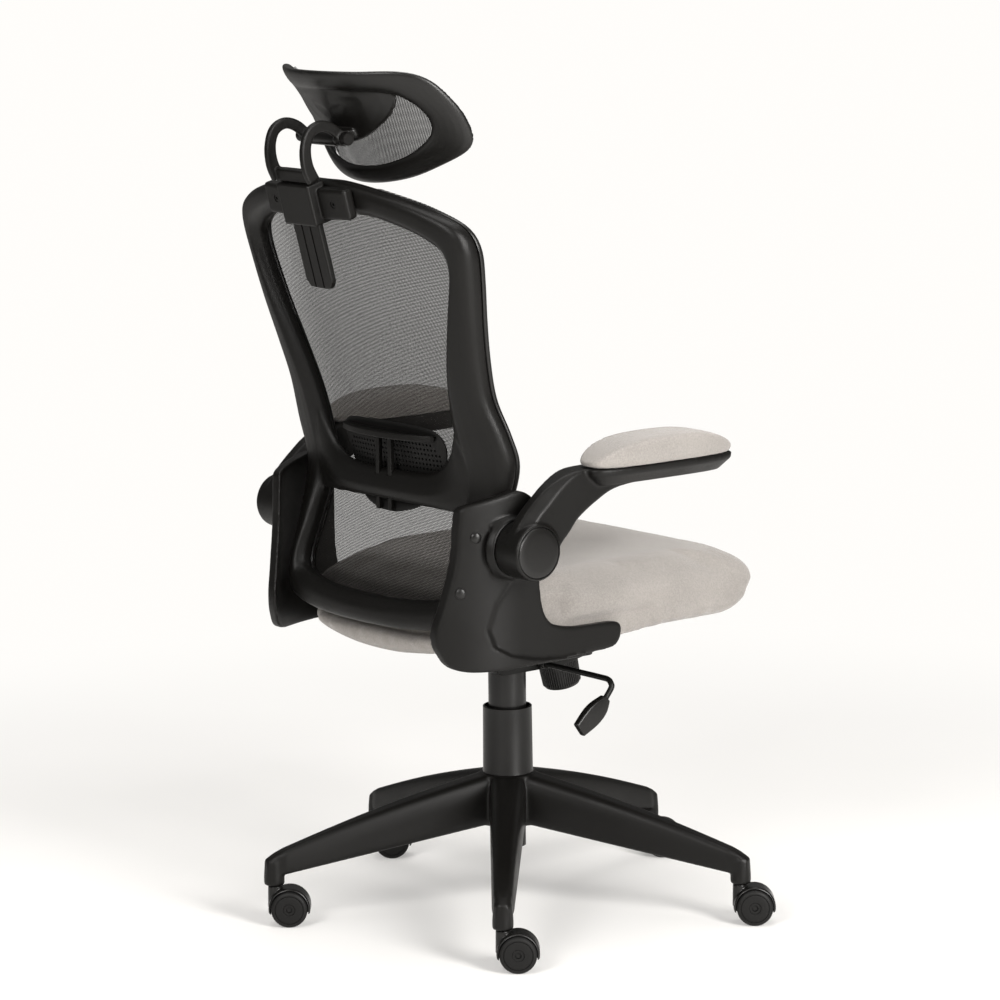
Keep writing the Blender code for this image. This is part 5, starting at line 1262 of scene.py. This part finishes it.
# %% Pressure simulation
def puffed(name, mesh, voxel, pressure, cap, held):
    """A padded shape after a short cloth simulation: held(point) is 1 where the cloth is fixed."""
    made = thing(name, welded(mesh, voxel, 2))
    start = [vertex.co.copy() for vertex in made.data.vertices]
    pins = made.vertex_groups.new(name="held")
    for vertex in made.data.vertices:
        pins.add([vertex.index], held(vertex.co), "REPLACE")
    cloth = made.modifiers.new("Cloth", "CLOTH")
    cloth.settings.use_pressure = True
    cloth.settings.uniform_pressure_force = pressure
    cloth.settings.effector_weights.gravity = 0.0
    cloth.settings.vertex_group_mass = "held"
    cloth.settings.quality = 5
    scene = bpy.context.scene
    for step in range(1, 21):
        scene.frame_set(step)
    graph = bpy.context.evaluated_depsgraph_get()
    mesh = bpy.data.meshes.new_from_object(made.evaluated_get(graph))
    made.modifiers.clear()
    made.vertex_groups.clear()
    made.data = mesh
    furthest = 0.0
    for vertex, before in zip(mesh.vertices, start):
        step = vertex.co - before
        furthest = max(furthest, step.length)
        if step.length > cap:
            vertex.co = before + step * (cap / step.length)
    scene.frame_set(1)
    print(name, "moved by up to", round(furthest * 1000, 1), "mm before the cap of", cap * 1000, "mm")
    return made


def cover_finish(made, levels=1):
    """Relaxes the cloth and adds one subdivision."""
    smooth = made.modifiers.new("Relax", "SMOOTH")
    smooth.factor, smooth.iterations = 0.5, 4
    fine = made.modifiers.new("Fine", "SUBSURF")
    fine.levels = fine.render_levels = levels
    return baked(made, 0.0)


# %% [markdown]
# ### Seat cushion
# One cover is pulled over the whole cushion and tacked under the pan, so there is no seam on top: only the
# lower edge shows small puckers where the cloth is gathered.

# %% Seat shape
SEAT_FRONT, SEAT_REAR, SEAT_WIDE = 0.292, 0.245, 0.236
PLATE_TOP = 0.3985
PAN_TOP = PLATE_TOP + 0.0004 + 0.0113
CUSHION_LOW, CUSHION_TALL, SKIRT = PAN_TOP + 0.0004, 0.092, 0.0070
SEAT_HALF = [
    (0.0, -SEAT_FRONT), (0.11, 0.001 - SEAT_FRONT), (0.190, 0.006 - SEAT_FRONT), (0.226, 0.030 - SEAT_FRONT),
    (SEAT_WIDE - 0.001, -0.200), (SEAT_WIDE, -0.080), (SEAT_WIDE - 0.001, 0.0), (SEAT_WIDE - 0.004, 0.090),
    (0.205, 0.150), (0.190, 0.190), (0.150, SEAT_REAR - 0.014), (0.08, SEAT_REAR - 0.002), (0.0, SEAT_REAR),
]


def clear_of_neighbours(p, room=0.0):
    """A point of the cushion, kept off the brackets at its sides and the back behind it."""
    inner = BRACKET_FACE - BRACKET_THICKNESS - 0.0035
    low = 1.0 - smoothstep(p.z, 0.4410, 0.4680)
    beside = low * smoothstep(p.y, -0.150, -0.040)
    wide = 0.240 + (inner - 0.240) * beside
    if p.y > 0.080:
        wide = min(wide, inner - 0.001 - 0.15 * (p.y - 0.080))
    elif p.y > 0.060:
        wide = min(wide, 0.30 + (inner - 0.001 - 0.30) * smoothstep(p.y, 0.020, 0.080))
    x = math.copysign(min(abs(p.x), wide), p.x)
    y = p.y
    if p.z > BACK_BOTTOM - 0.010:
        y = min(y, back_surface(x, p.z) + rim_face - NET_GAP - 0.0030 - room)
    return Vector((x, y, p.z))


def seat_blank():
    outline = loop(SEAT_HALF, 160)
    middle = Vector((0.0, -0.015))
    low, high, share = CUSHION_LOW, CUSHION_LOW + CUSHION_TALL, 0.80

    def hem(x, y, lift):
        """The lower edge sags behind, under the back, and rises ahead and again at the very front."""
        ahead = 0.013 * min(max((0.02 - y) / 0.12, 0.0), 1.0) + 0.020 * smoothstep(-y, 0.205, 0.285)
        sag = 0.010 * smoothstep(y, 0.12, 0.20) * max(1.0 - (x / 0.12) ** 2, -1.6)
        return low - SKIRT + lift + ahead - sag

    levels = [(0.45, low), (share, low), (share + 0.010, None, 0.001), (0.90, None, 0.0),
              (0.955, None, 0.007), (0.984, None, 0.020), (0.992, low + 0.042), (0.984, low + 0.054),
              (0.955, low + 0.066), (0.905, low + 0.075), (0.83, low + 0.082), (0.70, high - 0.005),
              (0.35, high - 0.008)]
    rows = []
    for share_here, level, *lift in levels:
        row = []
        for point in outline:
            at = middle.lerp(point, share_here)
            row.append(Vector((at.x, at.y, hem(at.x, at.y, lift[0]) if level is None else level)))
        rows.append(row)
    mesh = domed(rows, Vector((0.0, middle.y, low)), Vector((0.0, middle.y, high - 0.010)), name="seat")
    return moved(mesh, lambda p: clear_of_neighbours(p, 0.002))


def held_seat(p):
    """The cloth is tacked under the pan and free on top."""
    return 1.0 - smoothstep(p.z, CUSHION_LOW + 0.010, CUSHION_LOW + 0.034)


seat = puffed("seat_cushion_cover", seat_blank(), 0.0055, 4.0, 0.009, held_seat)
moved(seat.data, clear_of_neighbours)
cover_finish(seat)


def pucker(p):
    """Small gathers along the lower edge, strongest where the cloth turns under."""
    strength = 1.0 - smoothstep(abs(p.z - (CUSHION_LOW + 0.012)), 0.004, 0.020)
    angle = math.atan2(p.y + 0.015, p.x)
    wave = math.sin(angle * 46.0) * 0.6 + math.sin(angle * 71.0 + 1.3) * 0.4
    out = Vector((p.x, p.y + 0.015, 0.0)).normalized()
    return clear_of_neighbours(p + out * (0.0011 * strength * wave))


moved(seat.data, pucker)
settle(seat.data)
seat.data.shade_smooth()
dress(seat, FABRIC, "seat", ["seat_cushion"])
print("seat cushion:", len(seat.data.polygons), "faces")

# %% [markdown]
# ### Arm pads
# The arm pads are the same construction in small: a crowned foam block, full in the middle and thin at both
# ends, with its cover pulled under the tray.

# %% Arm pads
for side_name, side in (("right", -1), ("left", 1)):
    outline = [Vector(point) for point in tray_outline(side, 0.0, 96)]
    middle = Vector((side * PAD_X, PAD_Y))

    def crown(share, point):
        end = abs(point.y - PAD_Y) / (PAD_LENGTH / 2) * share
        return PAD_BOTTOM + PAD_HEIGHT * (1.0 - 0.72 * end**3.2) * (1.0 - 0.10 * share**2)

    rows = [[Vector((*middle.lerp(p, 0.5), PAD_BOTTOM)) for p in outline],
            [Vector((*middle.lerp(p, 0.93), PAD_BOTTOM)) for p in outline],
            [Vector((*middle.lerp(p, 0.985), PAD_BOTTOM + 0.005)) for p in outline]]
    for share in (0.975, 0.93, 0.86, 0.74, 0.58, 0.40, 0.2):
        rows.append([Vector((*middle.lerp(p, share), crown(min(share + 0.01, 1.0), p) - 0.0035))
                     for p in outline])
    shape = domed(rows, Vector((*middle, PAD_BOTTOM)), Vector((*middle, PAD_BOTTOM + PAD_HEIGHT - 0.0035)))
    pad = puffed(f"arm_pad_{side_name}_cover", shape, 0.0030, 3.0, 0.004,
                 lambda p: 1.0 - smoothstep(p.z, PAD_BOTTOM + 0.001, PAD_BOTTOM + 0.008))
    cover_finish(pad)
    moved(pad.data, lambda p: Vector((p.x, p.y, max(p.z, PAD_BOTTOM + 0.0002))))
    settle(pad.data)
    pad.data.shade_smooth()
    dress(pad, FABRIC, f"arm_{side_name[0]}", [f"arm_pad_{side_name}"])
    print(pad.name, len(pad.data.polygons), "faces")

# %% [markdown]
# ## Headrest block and stem
# The block is screwed to the top of the back frame. The stem slides in it: a ribbed blade below, and above
# it a foot from which two flat arms rise and hook forward to the headrest's shaft. Both lean back with the
# frame.

# %% Block and stem
BLOCK_Y, BLOCK_Z, BLOCK_LEAN = 0.3255, 1.008, math.radians(-15.0)
SHAFT_Y, SHAFT_Z, SHAFT_BORE = 0.2985, 1.0885, 0.0058
IN_BLOCK = Matrix.Translation((0.0, BLOCK_Y, BLOCK_Z)) @ Matrix.Rotation(BLOCK_LEAN, 4, "X")
BLADE_Y, BLADE_THICK, BLADE_HALF = 0.0065, 0.0085, 0.0280
EAR_X, EAR_YAW, SCREW_X = 0.0600, math.radians(4.8), 0.0013
STEM_ARM_X = 0.0385


def ear_turn(side):
    return Matrix.Translation((side * EAR_X, 0.0, 0.0)) @ Matrix.Rotation(-side * EAR_YAW, 4, "Z")


def block_mesh():
    shapes = [softened(block((-0.034, -0.0052, -0.028), (0.034, 0.0230, 0.028)), 0.0022, 3)]
    holes = []
    for side in (-1, 1):
        ear = softened(block((-0.027, -0.0080, -0.022), (0.027, 0.0085, 0.020)), 0.0045, 4)
        ear.transform(ear_turn(side))
        shapes.append(ear)
        hole = drum(Vector((side * SCREW_X, 0.0100, 0.0)), 0.0050, 0.012, "Y", 40)
        hole.transform(ear_turn(side))
        holes.append(hole)
    slot = BLADE_HALF + 0.0003
    holes.append(block((-slot, BLADE_Y - 0.0003, -0.05), (slot, BLADE_Y + BLADE_THICK + 0.0003, 0.05)))
    mesh = cut_from(welded(merged(*shapes), 0.0010, 3), *holes)
    mesh.transform(IN_BLOCK)
    return mesh


def flat_bar(path, width, half_thick, corner=0.0022):
    """A flat bar along a path in the YZ plane: width(share) gives half its width there."""
    rows = []
    for i, point in enumerate(path):
        run = (path[min(i + 1, len(path) - 1)] - path[max(i - 1, 0)]).normalized()
        up = Vector((1.0, 0.0, 0.0)).cross(run)
        half = width(i / (len(path) - 1))
        section = rounded([(-half_thick, -half), (half_thick, -half), (half_thick, half),
                           (-half_thick, half)],
                          corner, 3)
        rows.append([point + Vector((a, 0.0, 0.0)) + up * b for a, b in section])
    return loft(rows, caps=True, name="bar")


def stem_mesh():
    low, foot_top = -0.118, 0.046
    blade = [(-BLADE_HALF, foot_top), (BLADE_HALF, foot_top), (BLADE_HALF, low + 0.010),
             (BLADE_HALF - 0.007, low), (0.007 - BLADE_HALF, low), (-BLADE_HALF, low + 0.010)]
    body = softened(prism(blade, BLADE_Y, BLADE_Y + BLADE_THICK, "Y"), 0.0008, 2)
    foot = softened(block((-0.0395, BLADE_Y - 0.001, 0.0290), (0.0395, BLADE_Y + 0.0115, foot_top)),
                    0.0022, 3)
    for mesh in (body, foot):
        mesh.transform(IN_BLOCK)
    route = [(0.3470, 1.036), (0.3565, 1.055), (0.3590, 1.078), (0.3520, 1.098), (0.3350, 1.1065),
             (0.3160, 1.1020), (SHAFT_Y, SHAFT_Z)]
    shapes = [body, foot]
    for side in (-1, 1):
        path = [Vector((side * STEM_ARM_X, p.x, p.y)) for p in spline([Vector(r) for r in route], 8)]
        shapes.append(flat_bar(path, lambda share: 0.0074 + 0.0018 * (1.0 - smoothstep(share, 0.0, 0.4)),
                               0.0040))
        shapes.append(drum(Vector((side * STEM_ARM_X, SHAFT_Y, SHAFT_Z)), 0.0105, 0.0090, "X", 48))
    tools = [drum(Vector((0.0, SHAFT_Y, SHAFT_Z)), SHAFT_BORE, 0.12, "X", 40)]
    face_y = BLADE_Y + BLADE_THICK
    for x in (-0.009, 0.009):
        groove = block((x - 0.0014, face_y - 0.0014, low - 0.01), (x + 0.0014, face_y + 0.01, -0.029))
        groove.transform(IN_BLOCK)
        tools.append(groove)
    return cut_from(welded(merged(*shapes), 0.0011, 3), *tools)


for name, mesh, body in (("headrest_block", block_mesh(), "seat"),
                         ("headrest_stem", stem_mesh(), "headrest_post")):
    made = thing(name + "_moulding", settle(mesh))
    mesh.shade_smooth()
    mesh.set_sharp_from_angle(angle=math.radians(50.0))
    dress(made, NYLON, body, [name])
    print(made.name, len(mesh.polygons), "faces")


# %% [markdown]
# Socket screws sit deep in the block's ears. The tree sinks a hexagon into a small cylinder and sets one
# screw on each seat.

# %% Socket screws
def screw_tree():
    tree, given = new_tree("socket_screws", {"Head radius": 0.0043, "Head height": 0.0035,
                                             "Socket radius": 0.0023})
    head = node(tree, "GeometryNodeMeshCylinder", {"Vertices": 32, "Radius": given["Head radius"],
                                                   "Depth": given["Head height"]}).outputs[0]
    hexagon = node(tree, "GeometryNodeMeshCylinder", {"Vertices": 6, "Radius": given["Socket radius"],
                                                      "Depth": given["Head height"]}).outputs[0]
    raised = node(tree, "GeometryNodeTransform", {"Geometry": hexagon,
                                                  "Translation": (0.0, 0.0, 0.0015)}).outputs[0]
    screw = node(tree, "GeometryNodeMeshBoolean", {0: head, 1: raised}, operation="DIFFERENCE").outputs[0]
    end_tree(tree, on_points(tree, given["Geometry"], screw), given["Material"])
    return tree


seats = []
for side in (-1, 1):
    place = IN_BLOCK @ ear_turn(side)
    seats.append((place @ Vector((side * SCREW_X, 0.0058, 0.0)), place.to_3x3() @ Vector((0.0, 1.0, 0.0))))
screws = grown("block_screws", aimed_points(seats), screw_tree(), PAINTED)
settle(screws.data)
dress(screws, PAINTED, "seat", ())

# %% [markdown]
# ## Headrest
# The headrest repeats the back in small: a broad curved ring, a net in front of it, and a web behind the
# net that carries the hub. Ring, web and hub are one moulding, so they are welded and softened together.

# %% Headrest moulding
HEAD_Y, HEAD_SLOPE, HEAD_CURVE, HEAD_DEPTH = 0.275, 0.633, 3.7, 0.012
HEAD_TOP, HEAD_BOTTOM = 1.177, 1.024


def head_surface(x, z):
    """Rear face of the headrest: leaning back, and wrapped round the head."""
    return HEAD_Y + HEAD_SLOPE * (z - SHAFT_Z) - HEAD_CURVE * x * x


HEAD_OUTER = [(0.0, HEAD_TOP), (0.070, HEAD_TOP), (0.122, HEAD_TOP + 0.0005), (0.145, HEAD_TOP - 0.010),
              (0.156, HEAD_TOP - 0.035), (0.160, HEAD_TOP - 0.062), (0.157, 1.088), (0.145, 1.070),
              (0.118, 1.053), (0.080, 1.036), (0.040, HEAD_BOTTOM + 0.003), (0.0, HEAD_BOTTOM)]
HEAD_INNER = [(0.0, 1.152), (0.060, 1.151), (0.098, 1.149), (0.117, 1.138), (0.127, 1.117), (0.123, 1.097),
              (0.106, 1.079), (0.078, 1.062), (0.040, 1.051), (0.0, 1.048)]
WEB_HALF = [(0.0, 1.158), (0.060, 1.158), (0.100, 1.155), (0.102, 1.138), (0.084, 1.116), (0.058, 1.098),
            (0.030, 1.085), (0.0, 1.080)]


def filled(outline, shares, surface, ahead, behind, middle):
    """A thin body that fills an outline and follows a surface."""
    middle = Vector(middle)

    def row(share, depth):
        return [Vector((p.x, surface(p.x, p.y) + depth, p.y))
                for p in (middle.lerp(q, share) for q in outline)]

    rows = [row(s, ahead) for s in shares] + [row(s, behind) for s in reversed(shares)]
    poles = [Vector((middle.x, surface(*middle) + depth, middle.y)) for depth in (ahead, behind)]
    return domed(rows, *poles, name="web")


def headrest_mesh():
    front = -HEAD_DEPTH
    section = [(0.10, front), (0.02, front + 0.001), (0.0, front + 0.003), (0.0, -0.005), (0.03, -0.0028),
               (0.10, -0.0008), (0.26, 0.0008), (0.45, 0.0012), (0.66, 0.0006), (0.82, -0.0008),
               (0.94, -0.0032), (1.0, -0.006), (1.0, front)]
    shapes = [ring(loop(HEAD_OUTER, 200), loop(HEAD_INNER, 200), section, head_surface),
              filled(loop(WEB_HALF, 90), (0.3, 0.6, 0.85, 1.0), head_surface, front + 0.0006, front + 0.0066,
                     (0.0, 1.122))]
    hub_half = 0.0329
    shapes.append(drum(Vector((0.0, SHAFT_Y, SHAFT_Z)), 0.0110, hub_half * 2, "X", 64))
    shapes.append(block((0.002 - hub_half, HEAD_Y - 0.008, SHAFT_Z),
                        (hub_half - 0.002, SHAFT_Y, SHAFT_Z + 0.0100)))
    hole = drum(Vector((0.0, SHAFT_Y, SHAFT_Z)), SHAFT_BORE, 0.10, "X", 40)
    return cut_from(welded(merged(*shapes), 0.0015, 5), hole)


head = thing("headrest_moulding", settle(headrest_mesh()))
head.data.shade_smooth()
head.data.set_sharp_from_angle(angle=math.radians(60.0))
dress(head, COVER, "headrest", ["headrest_frame"])
print("headrest:", len(head.data.polygons), "faces")

knob_end, knob_in = 0.0535, 0.0437
shaft = [(0.0, knob_end), (0.0074, knob_end), (0.0086, knob_end - 0.0010), (0.0088, knob_end - 0.0022),
         (0.0088, knob_in + 0.0006), (0.0083, knob_in), (0.0055, knob_in)]
shaft = shaft + [(r, -h) for r, h in reversed(shaft)]
turned_piece("headrest_shaft_turned", shaft, NYLON, "headrest", "headrest_shaft",
             (0.0, SHAFT_Y, SHAFT_Z), "X", ring=False, steps=64)

head_net, area, flat = net_sheet("headrest_net", HEAD_OUTER, head_surface, -HEAD_DEPTH - 0.0036,
                                 HEAD_BOTTOM + 0.006, HEAD_TOP - 0.005, 0.005, 44, 70)
dress(head_net, FINE_NET, "headrest", ["headrest_mesh"])
print("headrest net:", round(area, 3), "square metres")

# %% [markdown]
# ## Under the seat
# The tilt mechanism is folded steel with a black powder coat, and it keeps its shape from the frame with
# its edges rounded. The release lever is a bent rod with a moulded paddle. The tension knob is a cone with
# fine ribs: a tree sets one thin rib at every point of a circle, down the knob's side.

# %% Mechanism, plate and pan
from_node("mechanism_housing", PAINTED, "carrier", bevel=0.0010)
from_node("seat_plate", PAINTED, "seat", bevel=0.0006)
pan = from_node("seat_pan", NYLON, "seat", bevel=0.0012)
pan_low, pan_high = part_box("seat_pan")


def tapered(p):
    """Ahead of the brackets the pan's edge leans inward toward its underside, so the cushion hides it."""
    from_top = (pan_high.z - p.z) / (pan_high.z - pan_low.z)
    narrow = 1.0 - (0.12 + 0.22 * from_top) * smoothstep(AXIS.y - p.y, 0.01, 0.06)
    return Vector((AXIS.x + (p.x - AXIS.x) * narrow, AXIS.y + (p.y - AXIS.y) * narrow, p.z))


moved(pan.data, tapered)
from_node("lever_sleeve", NYLON, "lever_collar", bevel=0.0004)
for name, look in (("tilt_axle", STEEL), ("tension_spring", STEEL), ("tension_bolt", STEEL)):
    frame["nodes"][name].data.materials.clear()
    frame["nodes"][name].data.materials.append(look)

# %% Lever
LEVER_Y, LEVER_Z, LEVER_REACH = -0.018, 0.3490, 0.206
BEND = Vector((-LEVER_REACH, LEVER_Y, LEVER_Z - 0.004))
DROP = Vector((0.0, 0.022, -0.026))


def rod_mesh():
    """A round rod along a smooth path, as a mesh."""
    points = [Vector((-0.022, LEVER_Y, LEVER_Z)), Vector((-0.10, LEVER_Y, LEVER_Z)),
              Vector((-LEVER_REACH + 0.030, LEVER_Y, LEVER_Z)),
              Vector((-LEVER_REACH + 0.012, LEVER_Y + 0.0005, LEVER_Z - 0.0006)),
              BEND + Vector((0.003, 0.003, 0.0)), BEND + DROP * 0.25, BEND + DROP]
    curve = bpy.data.curves.new("rod", "CURVE")
    curve.dimensions = "3D"
    curve.bevel_depth, curve.bevel_resolution, curve.use_fill_caps = 0.0040, 6, True
    line = curve.splines.new("POLY")
    path = spline(points, 6)
    line.points.add(len(path) - 1)
    for knot, point in zip(line.points, path):
        knot.co = (*point, 1.0)
    made = thing("rod", curve)
    mesh = baked_curve(made)
    return mesh


def baked_curve(made):
    bpy.context.view_layer.update()
    mesh = bpy.data.meshes.new_from_object(made.evaluated_get(bpy.context.evaluated_depsgraph_get()))
    bpy.data.objects.remove(made)
    shape = bmesh.new()
    shape.from_mesh(mesh)
    return mesh_from(shape, "rod")


rod = thing("lever_rod_bent", settle(rod_mesh()))
rod.data.shade_smooth()
rod.data.set_sharp_from_angle(angle=math.radians(50.0))
dress(rod, PAINTED, "lever", ["lever_rod"])


def paddle_mesh():
    start = BEND + DROP
    end = start + DROP.normalized() * 0.044 + Vector((0.0, 0.012, 0.004))
    knots = [start - DROP * 0.30, start + (end - start) * 0.12, start + (end - start) * 0.5, end]
    sizes = [Vector((0.0058, 0.0062)), Vector((0.0062, 0.0130)), Vector((0.0062, 0.0145)),
             Vector((0.0050, 0.0110))]
    path, spread = spline(knots, 8), spline(sizes, 8)
    rows = []
    for i, point in enumerate(path):
        run = (path[min(i + 1, len(path) - 1)] - path[max(i - 1, 0)]).normalized()
        up = Vector((1.0, 0.0, 0.0)).cross(run)
        a, b = spread[i]
        section = rounded([(-a, -b), (a, -b), (a, b), (-a, b)], 0.0035, 4)
        rows.append([point + Vector((p, 0.0, 0.0)) + up * q for p, q in section])
    mesh = softened(loft(rows, caps=True, name="paddle"), 0.0016, 3, 50.0)
    along = DROP.to_track_quat("Z", "Y").to_matrix().to_4x4()
    bore = drum(Vector((0.0, 0.0, 0.0)), 0.0044, 0.05, "Z", 32)
    bore.transform(Matrix.Translation(start - DROP.normalized() * 0.0246) @ along)
    return cut_from(mesh, bore)


paddle = thing("lever_paddle_moulded", settle(paddle_mesh()))
paddle.data.shade_smooth()
paddle.data.set_sharp_from_angle(angle=math.radians(40.0))
dress(paddle, COVER, "lever", ["lever_paddle"])

# %% Tension knob
KNOB_LEAN = math.radians(-13.4)
KNOB_PLACE = Matrix.Translation((0.0, -0.0895, HOUSING_BOTTOM + 0.003)) @ Matrix.Rotation(KNOB_LEAN, 4, "X")
KNOB_WIDE, KNOB_NARROW, KNOB_TALL = 0.0268, 0.0254, 0.045


def rib_tree():
    tree, given = new_tree("knob_ribs", {"Ribs": 52, "Radius": KNOB_WIDE, "Length": 0.036,
                                         "Rib radius": 0.0010, "Lean": 0.036})
    circle = node(tree, "GeometryNodeMeshCircle", {"Vertices": given["Ribs"],
                                                   "Radius": given["Radius"]}).outputs[0]
    rib = node(tree, "GeometryNodeMeshCylinder", {"Vertices": 8, "Radius": given["Rib radius"],
                                                  "Depth": given["Length"]}).outputs[0]
    index = node(tree, "GeometryNodeInputIndex").outputs[0]
    angle = maths(tree, "MULTIPLY", index, maths(tree, "DIVIDE", 2.0 * math.pi, given["Ribs"]))
    turn = node(tree, "ShaderNodeCombineXYZ", {"Y": given["Lean"], "Z": angle}).outputs[0]
    rotation = node(tree, "FunctionNodeEulerToRotation", {0: turn}).outputs[0]
    ribs = node(tree, "GeometryNodeInstanceOnPoints",
                {"Points": circle, "Instance": rib, "Rotation": rotation}).outputs[0]
    lowered = node(tree, "GeometryNodeTransform", {"Geometry": ribs,
                                                   "Translation": (0.0, 0.0, -0.0225)}).outputs[0]
    joined = tree.nodes.new("GeometryNodeJoinGeometry")
    tree.links.new(given["Geometry"], joined.inputs[0])
    tree.links.new(lowered, joined.inputs[0])
    end_tree(tree, joined.outputs[0], given["Material"])
    return tree


knob_profile = [(0.0, -0.001), (0.0235, -0.001), (0.0262, -0.0022), (KNOB_WIDE, -0.004),
                (KNOB_NARROW, 0.003 - KNOB_TALL), (KNOB_NARROW - 0.001, 0.001 - KNOB_TALL),
                (KNOB_NARROW - 0.003, -KNOB_TALL), (0.012, 0.0006 - KNOB_TALL), (0.0, 0.0010 - KNOB_TALL)]
knob = grown("tension_knob_ribbed", lathe(knob_profile, (0.0, 0.0, 0.0), steps=96), rib_tree(), COVER)
knob.data.transform(KNOB_PLACE)
settle(knob.data)
dress(knob, COVER, "knob", ["tension_knob"])
print("knob:", len(knob.data.polygons), "faces")

# %% [markdown]
# ## Last look
# The frame nodes that are still shown are listed with their finishes.

# %% Finish
for name, item in frame["nodes"].items():
    if not item.hide_render:
        print("shown from the frame:", name, [slot.name for slot in item.data.materials])
